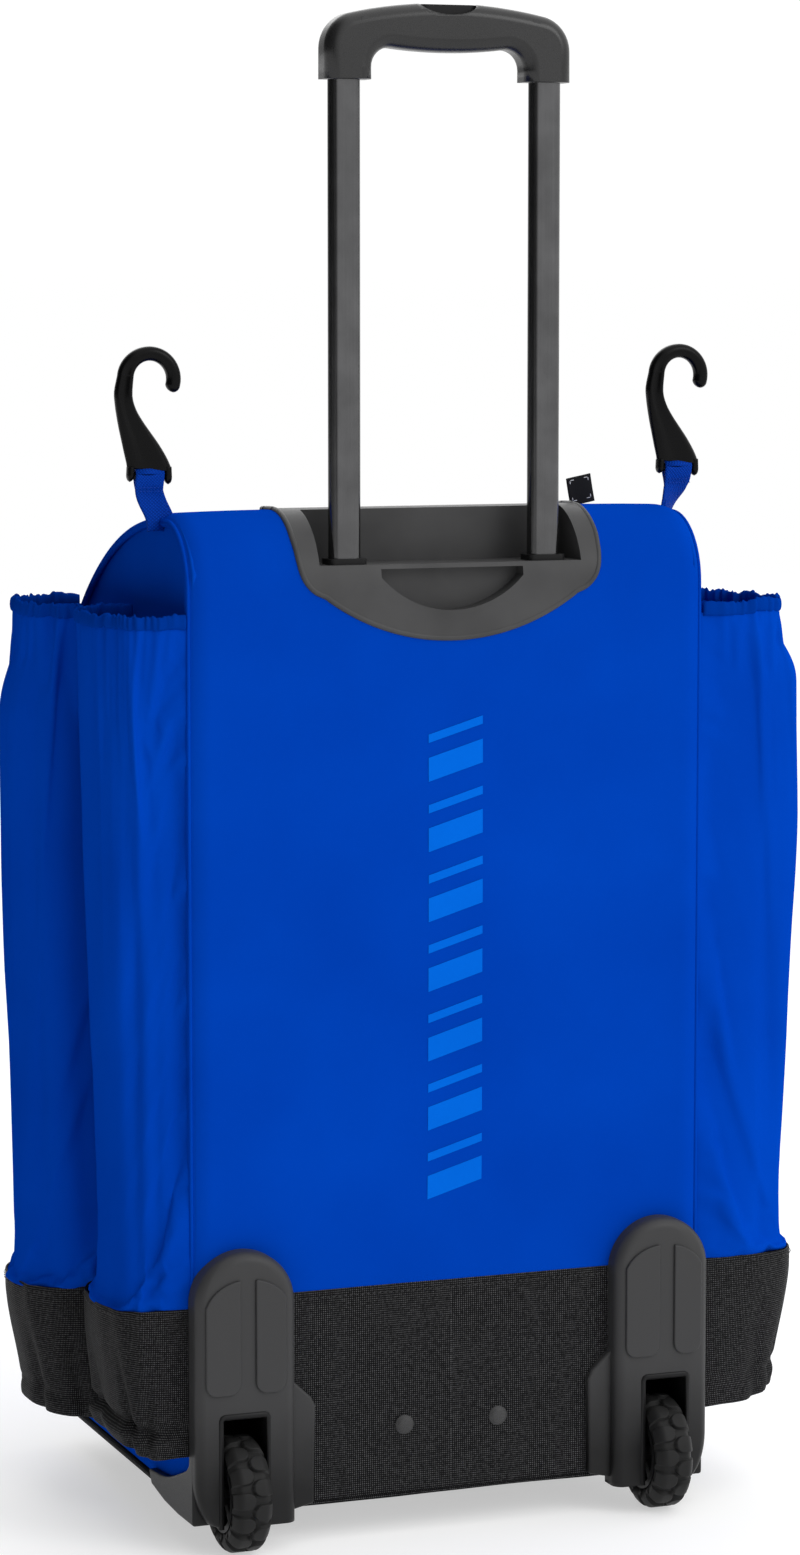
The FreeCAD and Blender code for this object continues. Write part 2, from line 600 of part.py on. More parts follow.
def build_hooks():
    for side, word in ((-1, "left"), (1, "right")):
        centre = side * 196.5
        y = (HOOK_Y - HOOK_THICK / 2, HOOK_Y + HOOK_THICK / 2)
        ring = V(centre + 0.5, 0, 801.5)
        low = HOOK_BAR_Z - 4
        outline = hook_outline(ring, V(centre - 16, 0, low), V(centre + 16, 0, low))
        hook = prism(outline, V(0, HOOK_THICK, 0))
        hook.translate(V(0, y[0], 0))
        half = STRAP_WIDE / 2 + 1
        slot = rod(6.3, V(centre - half, HOOK_Y, HOOK_BAR_Z), V(2 * half, 0, 0))
        bar = rod(HOOK_BAR_R, V(centre - half - 2, HOOK_Y, HOOK_BAR_Z), V(2 * half + 4, 0, 0))
        export("fence_hook_" + word, hook.cut(slot).fuse(bar).removeSplitter())
        half = STRAP_WIDE / 2
        loop = rod(5.6, V(centre - half, HOOK_Y, HOOK_BAR_Z), V(2 * half, 0, 0))
        leg = box((centre - half, centre + half), (HOOK_Y - 2, HOOK_Y + 2),
                  (STRAP_HINGE_Z + 0.4, HOOK_BAR_Z - 3))
        eye = rod(HOOK_BAR_R + 0.3, V(centre - half - 1, HOOK_Y, HOOK_BAR_Z), V(2 * half + 2, 0, 0))
        export("hook_strap_" + word, loop.fuse(leg).removeSplitter().cut(eye))


def build_label():
    tab = box((-9, 9), (-0.6, 0.6), (0, LABEL_TALL))
    tab.rotate(V(0, 0, 0), V(0, 1, 0), -12)
    tab.translate(V(LABEL_X, LABEL_Y, surface_z(LABEL_Y) + 2.2))
    export("tab_label", tab)


build_panels()
build_gussets()
build_front()
build_zipper()
build_sleeves()
build_tubes()
build_bracket_rivets()
build_grip()
build_button()
build_cup()
build_housings()
build_wheels()
build_feet()
build_hooks()
build_label()
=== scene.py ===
import math

import bmesh
import bpy
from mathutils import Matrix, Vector, noise


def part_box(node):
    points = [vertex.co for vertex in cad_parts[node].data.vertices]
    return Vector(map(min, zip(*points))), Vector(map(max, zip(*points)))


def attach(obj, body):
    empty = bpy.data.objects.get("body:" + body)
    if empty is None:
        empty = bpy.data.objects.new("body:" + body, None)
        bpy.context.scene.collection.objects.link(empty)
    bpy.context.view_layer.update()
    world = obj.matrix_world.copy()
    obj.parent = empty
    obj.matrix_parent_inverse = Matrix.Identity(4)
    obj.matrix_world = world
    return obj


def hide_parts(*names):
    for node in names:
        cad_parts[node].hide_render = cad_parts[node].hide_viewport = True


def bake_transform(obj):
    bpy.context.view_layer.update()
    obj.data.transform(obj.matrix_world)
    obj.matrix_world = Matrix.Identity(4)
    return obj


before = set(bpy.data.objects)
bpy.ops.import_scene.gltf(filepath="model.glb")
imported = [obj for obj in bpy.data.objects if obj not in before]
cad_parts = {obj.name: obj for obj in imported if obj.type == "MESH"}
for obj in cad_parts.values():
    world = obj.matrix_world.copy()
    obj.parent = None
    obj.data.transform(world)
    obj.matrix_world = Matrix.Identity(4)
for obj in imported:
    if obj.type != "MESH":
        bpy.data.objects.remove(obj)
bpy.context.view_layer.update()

MM = 0.001
TAU = 2 * math.pi

# ---- places read from the frame ----
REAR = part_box("rear_panel")[0].y
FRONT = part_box("front_sill")[1].y
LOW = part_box("base_band")[0].z
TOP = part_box("top_panel")[1].z
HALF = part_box("rear_panel")[1].x
BAND_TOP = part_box("base_band")[1].z
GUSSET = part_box("gusset_right")[1].x
BOOT_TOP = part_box("rear_sleeve_left")[0].z
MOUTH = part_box("rear_sleeve_left")[1].z
DOOR_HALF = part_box("front_door")[1].x
DOOR_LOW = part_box("front_door")[0].z
DOOR_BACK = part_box("front_door")[0].y
DEPTH = FRONT - REAR
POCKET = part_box("front_pocket")
HOUSING = {word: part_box("wheel_housing_" + word) for word in ("left", "right")}
TYRE = {word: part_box("wheel_tyre_" + word) for word in ("left", "right")}
GRIP_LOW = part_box("grip_rear_shell")[0]
GRIP_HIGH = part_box("grip_front_shell")[1]

# ---- shape of the bag's side outline, as in the CAD ----
CORNER_R = 52 * MM
CROWN_R = 322 * MM
CROWN_SWEEP = math.radians(36)
SILL_R = 26 * MM

SIDES = ((-1, "left"), (1, "right"))
HOUSING_WIDE = 72 * MM         # width of each wheel housing
POCKET_FLAT = -4.5 * MM        # the pocket's flat border, behind the front's outermost plane


def smooth(edge0, edge1, value):
    """0 below edge0, 1 above edge1, with a soft ramp between."""
    t = min(1.0, max(0.0, (value - edge0) / (edge1 - edge0)))
    return t * t * (3 - 2 * t)


def bump(centre, width, value):
    """A bell that is 1 at its centre."""
    return math.exp(-((value - centre) / width) ** 2)


# ================= materials =================
def new_material(name):
    mat = bpy.data.materials.new(name)
    mat.use_nodes = True
    tree = mat.node_tree
    return mat, tree, tree.nodes["Principled BSDF"]


def add(tree, kind, **values):
    node = tree.nodes.new(kind)
    for key, value in values.items():
        if hasattr(node, key):
            setattr(node, key, value)
        else:
            node.inputs[key].default_value = value
    return node


def math_node(tree, operation, first, second=None):
    node = add(tree, "ShaderNodeMath", operation=operation)
    for socket, value in zip(node.inputs, (first, second)):
        if value is None:
            continue
        if hasattr(value, "node"):
            tree.links.new(value, socket)
        else:
            socket.default_value = value
    return node.outputs[0]


def ramp(tree, value, stops):
    """Colour ramp through (position, grey or colour) stops."""
    node = add(tree, "ShaderNodeValToRGB")
    elements = node.color_ramp.elements
    while len(elements) < len(stops):
        elements.new(0.5)
    for element, (position, colour) in zip(elements, stops):
        element.position = position
        if not isinstance(colour, (tuple, list)):
            colour = (colour, colour, colour)
        element.color = (*colour, 1)
    tree.links.new(value, node.inputs["Fac"])
    return node.outputs["Color"]


def surface_coordinates(tree):
    """Place, height, and a coordinate that keeps its scale on the rear and on both sides."""
    place = add(tree, "ShaderNodeTexCoord").outputs["Object"]
    split = add(tree, "ShaderNodeSeparateXYZ")
    tree.links.new(place, split.inputs[0])
    x, y, z = split.outputs
    round_ = math_node(tree, "ADD", math_node(tree, "ABSOLUTE", x), y)
    return place, z, round_


def noise_value(tree, place, scale, detail=2.0):
    node = add(tree, "ShaderNodeTexNoise", Scale=scale, Detail=detail)
    tree.links.new(place, node.inputs["Vector"])
    return node.outputs["Fac"]


def bump_into(tree, shader, height, strength, distance, previous=None):
    node = add(tree, "ShaderNodeBump", Strength=strength, Distance=distance)
    tree.links.new(height, node.inputs["Height"])
    if previous is not None:
        tree.links.new(previous, node.inputs["Normal"])
    tree.links.new(node.outputs["Normal"], shader.inputs["Normal"])
    return node.outputs["Normal"]


def wave_product(tree, first, second, period):
    """Crossed threads: a product of two sines."""
    parts = []
    for value in (first, second):
        scaled = math_node(tree, "MULTIPLY", value, TAU / period)
        parts.append(math_node(tree, "SINE", scaled))
    return math_node(tree, "MULTIPLY", *parts)


def coated_cloth(name, colour, shade, rough=0.42):
    """Coated polyester: fine plain weave and soft colour drift, with its specular reflection turned off."""
    mat, tree, shader = new_material(name)
    place, z, round_ = surface_coordinates(tree)
    weave = wave_product(tree, round_, z, 1.1 * MM)
    drift = noise_value(tree, place, 7.0, 3.0)
    tree.links.new(ramp(tree, drift, ((0.3, shade), (0.7, colour))), shader.inputs["Base Color"])
    grain = noise_value(tree, place, 900.0, 2.0)
    tree.links.new(ramp(tree, grain, ((0.3, rough - 0.07), (0.7, rough + 0.08))), shader.inputs["Roughness"])
    soft = noise_value(tree, place, 28.0, 3.0)
    first = bump_into(tree, shader, soft, 0.25, 2.0 * MM)
    bump_into(tree, shader, weave, 0.12, 0.12 * MM, first)
    shader.inputs["Specular IOR Level"].default_value = 0.0
    return mat


def ballistic_cloth(name):
    """Black ballistic twill: heavy threads, with painted highlights in the base colour as fine lighter
    diagonal dots where the thread tops catch light.
    """
    mat, tree, shader = new_material(name)
    place, z, round_ = surface_coordinates(tree)
    rising = math_node(tree, "ADD", round_, z)
    falling = math_node(tree, "SUBTRACT", round_, z)
    threads = wave_product(tree, rising, falling, 3.0 * MM)
    lift = math_node(tree, "MULTIPLY", math_node(tree, "ADD", threads, 1.0), 0.5)
    mottled = noise_value(tree, place, 500.0, 2.0)
    uneven = math_node(tree, "MULTIPLY_ADD", mottled, 0.7)
    uneven.node.inputs[2].default_value = 0.6
    thread_highlight = math_node(tree, "MULTIPLY", lift, uneven)
    # painted highlight: the thread tops are coloured lighter, standing in for light caught by the weave
    colours = ((0.42, (0.004, 0.004, 0.0045)), (0.70, (0.020, 0.020, 0.021)), (0.92, (0.105, 0.105, 0.108)))
    tree.links.new(ramp(tree, thread_highlight, colours), shader.inputs["Base Color"])
    bump_into(tree, shader, lift, 0.5, 0.4 * MM)
    shader.inputs["Roughness"].default_value = 0.62
    shader.inputs["Specular IOR Level"].default_value = 0.05
    return mat


def webbing_cloth(name, colour, dark):
    """Woven webbing: ribs across the strap."""
    mat, tree, shader = new_material(name)
    _, z, round_ = surface_coordinates(tree)
    ribs = wave_product(tree, z, round_, 2.2 * MM)
    tree.links.new(ramp(tree, ribs, ((0.0, dark), (0.6, colour))), shader.inputs["Base Color"])
    bump_into(tree, shader, ribs, 0.5, 0.35 * MM)
    shader.inputs["Roughness"].default_value = 0.6
    shader.inputs["Specular IOR Level"].default_value = 0.03
    return mat


def moulded_plastic(name, colour, rough, grain=0.25, gloss=0.15):
    """Moulded plastic: fine spark texture with slight colour variation."""
    mat, tree, shader = new_material(name)
    place = surface_coordinates(tree)[0]
    drift = noise_value(tree, place, 18.0, 3.0)
    dark = tuple(c * 0.8 for c in colour)
    light = tuple(c * 1.2 for c in colour)
    tree.links.new(ramp(tree, drift, ((0.3, dark), (0.7, light))), shader.inputs["Base Color"])
    fine = noise_value(tree, place, 1600.0, 2.0)
    tree.links.new(ramp(tree, fine, ((0.3, rough - 0.06), (0.7, rough + 0.06))), shader.inputs["Roughness"])
    bump_into(tree, shader, fine, grain, 0.15 * MM)
    shader.inputs["Specular IOR Level"].default_value = gloss
    return mat


def foot_shaded_plastic(name, colour, dark, low, high):
    """Moulded plastic with painted shade: darker towards its foot, where the housing stands in shade, and
    painted light that makes its upper part a little lighter.
    """
    mat, tree, shader = new_material(name)
    place, z, _ = surface_coordinates(tree)
    cloud = math_node(tree, "MULTIPLY", noise_value(tree, place, 22.0, 4.0), 40 * MM)
    level = math_node(tree, "ADD", z, cloud)
    span = add(tree, "ShaderNodeMapRange")
    tree.links.new(level, span.inputs["Value"])
    span.inputs["From Min"].default_value = low
    span.inputs["From Max"].default_value = high
    light = tuple(c * 1.12 for c in colour)
    tree.links.new(ramp(tree, span.outputs["Result"], ((0.0, dark), (0.8, colour), (1.0, light))),
                   shader.inputs["Base Color"])
    fine = noise_value(tree, place, 1600.0, 2.0)
    tree.links.new(ramp(tree, fine, ((0.3, 0.36), (0.7, 0.50))), shader.inputs["Roughness"])
    bump_into(tree, shader, fine, 0.25, 0.15 * MM)
    shader.inputs["Specular IOR Level"].default_value = 0.2
    return mat


def drawn_metal(name, colour, rough, metallic):
    """Drawn tube or sheet: fine lines along its length."""
    mat, tree, shader = new_material(name)
    place = surface_coordinates(tree)[0]
    stretch = add(tree, "ShaderNodeMapping")
    stretch.inputs["Scale"].default_value = (900, 900, 6)
    tree.links.new(place, stretch.inputs["Vector"])
    lines = noise_value(tree, stretch.outputs["Vector"], 1.0, 2.0)
    tree.links.new(ramp(tree, lines, ((0.3, rough - 0.04), (0.7, rough + 0.06))), shader.inputs["Roughness"])
    scuffs = noise_value(tree, place, 40.0, 4.0)
    light = tuple(min(1, c * 1.35) for c in colour)
    tree.links.new(ramp(tree, scuffs, ((0.35, colour), (0.75, light))), shader.inputs["Base Color"])
    shader.inputs["Metallic"].default_value = metallic
    return mat


BLUE = (0.0003, 0.050, 0.430)
BLUE_SHADE = (0.0003, 0.041, 0.375)
panel_cloth = coated_cloth("panel_cloth", BLUE, BLUE_SHADE)
sleeve_cloth = coated_cloth("sleeve_cloth", BLUE, BLUE_SHADE, 0.36)
gusset_cloth = coated_cloth("gusset_cloth", (0.0004, 0.056, 0.46), (0.0004, 0.047, 0.40), 0.5)
print_ink = coated_cloth("print_ink", (0.0012, 0.13, 0.68), (0.001, 0.115, 0.62), 0.3)
binding = coated_cloth("binding", (0.0003, 0.035, 0.30), (0.0003, 0.028, 0.24), 0.5)
webbing = webbing_cloth("webbing", (0.001, 0.046, 0.40), (0.0006, 0.028, 0.25))
twill = ballistic_cloth("ballistic_twill")
thread = moulded_plastic("thread", (0.001, 0.035, 0.30), 0.6)
black_thread = moulded_plastic("black_thread", (0.03, 0.03, 0.031), 0.6)
pale_thread = moulded_plastic("pale_thread", (0.55, 0.55, 0.54), 0.6)
plastic = moulded_plastic("charcoal_plastic", (0.052, 0.052, 0.053), 0.42)
# housing plastic: painted shade darkens it towards the foot and painted light lightens it near the top
housing_plastic = foot_shaded_plastic("housing_plastic", (0.037, 0.037, 0.038), (0.010, 0.010, 0.0103),
                                  62 * MM, 135 * MM)
dark_plastic = moulded_plastic("black_plastic", (0.010, 0.010, 0.0105), 0.38)
grip_plastic = moulded_plastic("grip_plastic", (0.009, 0.009, 0.0094), 0.30, 0.03, 0.42)
hook_plastic = moulded_plastic("hook_plastic", (0.0022, 0.0022, 0.0024), 0.26, 0.08, 0.10)
rubber = moulded_plastic("tyre_rubber", (0.016, 0.016, 0.016), 0.5, 0.4, 0.12)
zip_tape = ballistic_cloth("zip_tape")
tube_metal = drawn_metal("tube_metal", (0.092, 0.092, 0.094), 0.15, 0.95)
steel = drawn_metal("plated_steel", (0.5, 0.5, 0.51), 0.32, 1.0)
lacquer = drawn_metal("black_lacquer", (0.03, 0.03, 0.031), 0.3, 0.6)
lining = coated_cloth("lining", (0.02, 0.02, 0.021), (0.014, 0.014, 0.015), 0.7)


# ================= mesh helpers =================
def piece(name, verts, faces, material, body, stands_for=(), slot=None, flat=False):
    mesh = bpy.data.meshes.new(name)
    mesh.from_pydata([tuple(v) for v in verts], [], faces)
    mesh.validate()
    obj = bpy.data.objects.new(name, mesh)
    bpy.context.scene.collection.objects.link(obj)
    mesh.materials.append(material)
    tidy = bmesh.new()
    tidy.from_mesh(mesh)
    bmesh.ops.recalc_face_normals(tidy, faces=tidy.faces)
    tidy.to_mesh(mesh)
    tidy.free()
    for polygon in mesh.polygons:
        polygon.use_smooth = not flat
    if body:
        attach(obj, body)
    if stands_for:
        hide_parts(*stands_for)
    return obj


def grid_faces(rows, columns, wrap=False, start=0):
    """Quads of a rows x columns lattice; wrap joins the last column to the first."""
    faces = []
    last = columns if wrap else columns - 1
    for row in range(rows - 1):
        for column in range(last):
            right = (column + 1) % columns
            a = start + row * columns + column
            b = start + row * columns + right
            faces.append((a, b, b + columns, a + columns))
    return faces


def sheet_piece(name, rows, columns, place, material, body, thick=0, keep=None, **more):
    """A sheet from place(row fraction, column fraction), with a thickness if asked."""
    verts = []
    for row in range(rows):
        for column in range(columns):
            verts.append(place(row / (rows - 1), column / (columns - 1)))
    faces = grid_faces(rows, columns)
    if keep:
        faces = [f for f in faces if keep(sum((Vector(verts[i]) for i in f), Vector()) / 4)]
    obj = piece(name, verts, faces, material, body, **more)
    if thick:
        solid = obj.modifiers.new("thickness", "SOLIDIFY")
        solid.thickness = thick
        solid.offset = -1
        solid.use_even_offset = True
    return obj


def ring_sweep(name, rings, material, body, closed=False, caps=True, **more):
    """A tube through rings of points, all with the same count."""
    count = len(rings[0])
    verts = [v for ring in rings for v in ring]
    faces = grid_faces(len(rings), count, wrap=True)
    if closed:
        last = (len(rings) - 1) * count
        for i in range(count):
            j = (i + 1) % count
            faces.append((last + i, last + j, j, i))
    elif caps:
        faces.append(tuple(reversed(range(count))))
        faces.append(tuple(range(len(verts) - count, len(verts))))
    return piece(name, verts, faces, material, body, **more)


def tube_rings(path, radius, count=10, hint=Vector((0, 0, 1))):
    """Round rings along a path of points."""
    rings = []
    total = len(path)
    for index, centre in enumerate(path):
        ahead = path[min(index + 1, total - 1)] - path[max(index - 1, 0)]
        ahead.normalize()
        side = ahead.cross(hint)
        if side.length < 0.05:
            side = ahead.cross(Vector((1, 0, 0)))
        side.normalize()
        up = side.cross(ahead)
        ring = []
        for step in range(count):
            angle = TAU * step / count
            ring.append(centre + side * (radius * math.cos(angle)) + up * (radius * math.sin(angle)))
        rings.append(ring)
    return rings


def prism_piece(name, outline, low, high, axis, material, body, bevel=0, segments=3, **more):
    """An outline of (a, b) points pushed from low to high along an axis, with rounded rims."""
    def point(a, b, c):
        return {"x": (c, a, b), "y": (a, c, b), "z": (a, b, c)}[axis]
    count = len(outline)
    verts = [point(a, b, low) for a, b in outline] + [point(a, b, high) for a, b in outline]
    faces = [(i, (i + 1) % count, count + (i + 1) % count, count + i) for i in range(count)]
    faces.append(tuple(reversed(range(count))))
    faces.append(tuple(range(count, 2 * count)))
    obj = piece(name, verts, faces, material, body, **more)
    if bevel:
        round_rims(obj, bevel, segments)
    return obj


def round_rims(obj, width, segments=3, angle=35):
    rim = obj.modifiers.new("rims", "BEVEL")
    rim.width = width
    rim.segments = segments
    rim.limit_method = "ANGLE"
    rim.angle_limit = math.radians(angle)
    rim.harden_normals = False
    for polygon in obj.data.polygons:
        polygon.use_smooth = True
    even = obj.modifiers.new("even normals", "WEIGHTED_NORMAL")
    even.keep_sharp = True


def weighted_rims(obj, width, weight, segments=4):
    """Round edges by a weight that depends on each edge's middle; 0 leaves an edge sharp."""
    mesh = obj.data
    weights = mesh.attributes.new("bevel_weight_edge", "FLOAT", "EDGE")
    for edge in mesh.edges:
        a, b = (mesh.vertices[i].co for i in edge.vertices)
        weights.data[edge.index].value = weight((a + b) / 2, (b - a).normalized())
    rim = obj.modifiers.new("rims", "BEVEL")
    rim.width = width
    rim.segments = segments
    rim.limit_method = "WEIGHT"
    rim.use_clamp_overlap = False
    even = obj.modifiers.new("even normals", "WEIGHTED_NORMAL")
    even.keep_sharp = True


def carve(obj, cutter):
    """Take the cutter's shape out of obj for good, then drop the cutter."""
    cut = obj.modifiers.new("carve", "BOOLEAN")
    cut.operation = "DIFFERENCE"
    cut.solver = "EXACT"
    cut.object = cutter
    bpy.context.view_layer.update()
    seen = obj.evaluated_get(bpy.context.evaluated_depsgraph_get())
    mesh = bpy.data.meshes.new_from_object(seen)
    obj.modifiers.clear()
    obj.data = mesh
    bpy.data.objects.remove(cutter)


def lathe(name, profile, centre, axis, material, body, count=40, **more):
    """Rings of (along, radius) points turned round an axis through a centre."""
    rings = []
    for along, radius in profile:
        ring = []
        for step in range(count):
            a = TAU * step / count
            u, v = radius * math.cos(a), radius * math.sin(a)
            offset = {"x": (along, u, v), "y": (u, along, v), "z": (u, v, along)}[axis]
            ring.append(Vector(centre) + Vector(offset))
        rings.append(ring)
    return ring_sweep(name, rings, material, body, **more)


def arc_points(cx, cy, radius, start, end, count):
    """Points on a circle between two angles in degrees."""
    points = []
    for step in range(count + 1):
        angle = math.radians(start + (end - start) * step / count)
        points.append((cx + radius * math.cos(angle), cy + radius * math.sin(angle)))
    return points


# ================= the bag's outline =================
def outline_samples():
    """(y, z, normal y, normal z) along the outline from the rear's foot over the top to the front's foot."""
    reach = CORNER_R + CROWN_R * math.sin(CROWN_SWEEP)
    nose_r = (DEPTH - reach) / (1 - math.sin(CROWN_SWEEP))
    corner = (CORNER_R, TOP - CORNER_R)
    crown = (CORNER_R, TOP - CROWN_R)
    inward = CROWN_R - nose_r
    nose = (crown[0] + inward * math.sin(CROWN_SWEEP), crown[1] + inward * math.cos(CROWN_SWEEP))
    sill = (DEPTH - SILL_R, LOW + SILL_R)
    quarter = math.pi / 2
    points = []

    def straight(y, z0, z1, normal):
        steps = max(2, int(abs(z1 - z0) / (4 * MM)))
        for step in range(steps):
            points.append((y, z0 + (z1 - z0) * step / steps, normal, 0.0))

    def bend(centre, radius, first, last):
        steps = max(6, int(abs(last - first) * radius / (4 * MM)))
        for step in range(steps):
            angle = first + (last - first) * step / steps
            ny, nz = math.sin(angle), math.cos(angle)
            points.append((centre[0] + radius * ny, centre[1] + radius * nz, ny, nz))

    straight(0, LOW, corner[1], -1.0)
    bend(corner, CORNER_R, -quarter, 0)
    bend(crown, CROWN_R, 0, CROWN_SWEEP)
    bend(nose, nose_r, CROWN_SWEEP, quarter)
    straight(DEPTH, nose[1], sill[1], 1.0)
    bend(sill, SILL_R, quarter, 2 * quarter)
    points.append((sill[0], LOW, 0.0, -1.0))
    return points


OUTLINE = outline_samples()


def run_length(samples):
    total = [0.0]
    for (y0, z0, *_), (y1, z1, *_) in zip(samples, samples[1:]):
        total.append(total[-1] + math.hypot(y1 - y0, z1 - z0))
    return total


RUN = run_length(OUTLINE)


def on_outline(run, out=0.0):
    """Point (y, z) and normal at a run along the outline, moved outward."""
    run = min(max(run, 0), RUN[-1] - 1e-9)
    low, high = 0, len(RUN) - 1
    while high - low > 1:
        middle = (low + high) // 2
        if RUN[middle] <= run:
            low = middle
        else:
            high = middle
    t = (run - RUN[low]) / (RUN[high] - RUN[low])
    a, b = OUTLINE[low], OUTLINE[high]
    y, z, ny, nz = (a[i] + (b[i] - a[i]) * t for i in range(4))
    return REAR + y + ny * out, z + nz * out, ny, nz


def run_at(test):
    """The run at the first outline sample that passes a test."""
    for value, sample in zip(RUN, OUTLINE):
        if test(sample):
            return value
    return RUN[-1]


RUN_BAND = run_at(lambda s: s[1] >= BAND_TOP)
RUN_TOP = run_at(lambda s: s[0] >= CORNER_R)
RUN_DOOR = run_at(lambda s: s[0] >= DOOR_BACK - REAR)


# ================= body panels =================
def panel_swell(x, run, start, end, amount, half):
    """Soft fullness of a sewn panel: flat at its seams, proud in the middle."""
    across = max(0.0, 1 - (x / half) ** 2)
    along = max(0.0, math.sin(math.pi * min(1, max(0, (run - start) / (end - start)))))
    return amount * across ** 0.6 * along ** 0.5


def edge_roll(x, half, width, drop):
    """How far a panel turns in towards the seam at its sides."""
    over = max(0.0, abs(x) - (half - width)) / width
    return drop * over * over


def ripple(x, run, amount):
    place = Vector((x * 9, run * 6, 3.1))
    fine = Vector((x * 26, run * 17, 8.2))
    return amount * (noise.noise(place) + 0.35 * noise.noise(fine))


def inside_cup(centre):
    y, z = centre.y - REAR, centre.z
    arc_z = 786 * MM - math.sqrt(max(0, (155 * MM) ** 2 - centre.x ** 2)) if abs(centre.x) < 155 * MM else 9
    return abs(centre.x) < 103 * MM and z > arc_z and y < 50 * MM


def shell_sheet(name, run0, run1, half, rows, columns, material, body, swell=3 * MM, out=0.0, roll=6 * MM,
                thick=3.5 * MM, **more):
    def place(row, column):
        run = run0 + (run1 - run0) * row
        x = half * (2 * column - 1)
        lift = out + panel_swell(x, run, run0, run1, swell, half) - edge_roll(x, half, 15 * MM, roll)
        lift += ripple(x, run, 0.9 * MM) * (1 - (x / half) ** 4)
        y, z, *_ = on_outline(run, lift)
        return x, y, z
    return sheet_piece(name, rows, columns, place, material, body, thick, **more)


def build_rear_panel():
    shell_sheet("rear_top_panel", RUN_BAND - 4 * MM, RUN_DOOR - 4 * MM, HALF, 190, 110, panel_cloth, "bag",
                keep=lambda c: not inside_cup(c), stands_for=("rear_panel", "top_panel"), slot="panel_fabric")
    shell_sheet("base_band_cloth", 0, RUN_BAND, HALF, 40, 110, twill, "bag",
                swell=0, out=0.8 * MM, roll=5 * MM,
                keep=lambda c: not (abs(c.x) > 122 * MM and c.z < 104 * MM),
                stands_for=("base_band",), slot="woven_base")
    seam_line("band_seam", RUN_BAND - 5 * MM, 118 * MM, 1.6 * MM, black_thread)


def seam_line(name, run, half, out, material):
    """A row of short stitches across the rear."""
    verts, faces = [], []
    pitch = 4.2 * MM
    count = int(2 * half / pitch)
    for index in range(count):
        x0 = -half + index * pitch
        y, z, ny, nz = on_outline(run, out)
        add_stitch(verts, faces, Vector((x0, y, z)), Vector((x0 + 2.8 * MM, y, z)), Vector((0, ny, nz)))
    piece(name, verts, faces, material, "bag")


def add_stitch(verts, faces, start, end, normal, radius=0.45 * MM):
    """One stitch: a small six-sided lozenge, thick in the middle."""
    along = end - start
    side = along.cross(normal).normalized()
    rings = []
    for t, r in ((0.0, 0.3), (0.2, 0.9), (0.5, 1.0), (0.8, 0.9), (1.0, 0.3)):
        centre = start + along * t
        rings.append([centre + side * (radius * r * math.cos(a)) + normal * (radius * r * math.sin(a))
                      for a in (TAU * k / 6 for k in range(6))])
    base = len(verts)
    for ring in rings:
        verts.extend(ring)
    faces.extend(grid_faces(len(rings), 6, wrap=True, start=base))
    faces.append(tuple(base + i for i in reversed(range(6))))
    faces.append(tuple(base + 24 + i for i in range(6)))


def build_print():
    """Generic slanted bars printed on the rear panel in a lighter tone."""
    count, low, high = 7, 235 * MM, 575 * MM
    left, right, slant = -18 * MM, 22 * MM, 12 * MM
    step = (high - low) / count
    verts, faces = [], []
    for index in range(count):
        start = low + index * step
        for part, width in ((0.0, 0.34), (0.55, 0.12)):
            z0 = start + part * step
            rows, columns = 5, 9
            base = len(verts)
            for row in range(rows):
                for column in range(columns):
                    x = left + (right - left) * column / (columns - 1)
                    run = z0 - LOW + width * step * row / (rows - 1) + slant * column / (columns - 1)
                    lift = panel_swell(x, run, RUN_BAND, RUN_DOOR, 3 * MM, HALF) + ripple(x, run, 0.9 * MM)
                    y, z, *_ = on_outline(run, lift + 0.35 * MM)
                    verts.append((x, y, z))
            faces.extend(grid_faces(rows, columns, start=base))
    piece("rear_print", verts, faces, print_ink, "bag")


def outline_top(depth):
    """Highest z of the outline at a depth, interpolated."""
    upper = [(y, z) for y, z, _, nz in OUTLINE if nz >= 0 and z > 300 * MM]
    if depth <= 0.2 * MM:
        return TOP - CORNER_R
    for (y0, z0), (y1, z1) in zip(upper, upper[1:]):
        if y0 <= depth <= y1 and y1 > y0:
            return z0 + (z1 - z0) * (depth - y0) / (y1 - y0)
    return upper[-1][1]


def outline_low(depth):
    """Lowest z of the outline at a depth."""
    over = depth - (DEPTH - SILL_R)
    if over <= 0:
        return LOW
    return LOW + SILL_R - math.sqrt(max(0, SILL_R ** 2 - over ** 2))


def build_gussets():
    for side, word in SIDES:
        def place(row, column, side=side):
            inset = 2.5 * MM
            depth = inset + (DEPTH - 2 * inset) * column
            low, high = outline_low(depth) + inset, outline_top(depth) - inset
            z = low + (high - low) * row
            edge = min(depth, DEPTH - depth, z - low, high - z)
            full = smooth(0, 45 * MM, edge)
            wave = noise.noise(Vector((depth * 11, z * 7, side * 4.0))) * 2.2 * MM
            x = GUSSET - 2.5 * MM + full * (4 * MM + wave)
            return side * x, REAR + depth, z
        sheet_piece("gusset_cloth_" + word, 110, 70, place, gusset_cloth, "bag", 3 * MM,
                    stands_for=("gusset_" + word,), slot="panel_fabric")
        path = []
        for run in [RUN[-1] * i / 300 for i in range(301)]:
            y, z, *_ = on_outline(run, -4.2 * MM)
            if not (y - REAR < 20 * MM and z < 105 * MM):
                path.append(Vector((side * (HALF - 2.0 * MM), y, z)))
        rings = tube_rings(path, 1.4 * MM, 8, hint=Vector((1, 0, 0)))
        ring_sweep("piping_" + word, rings, panel_cloth, "bag", slot="panel_fabric")


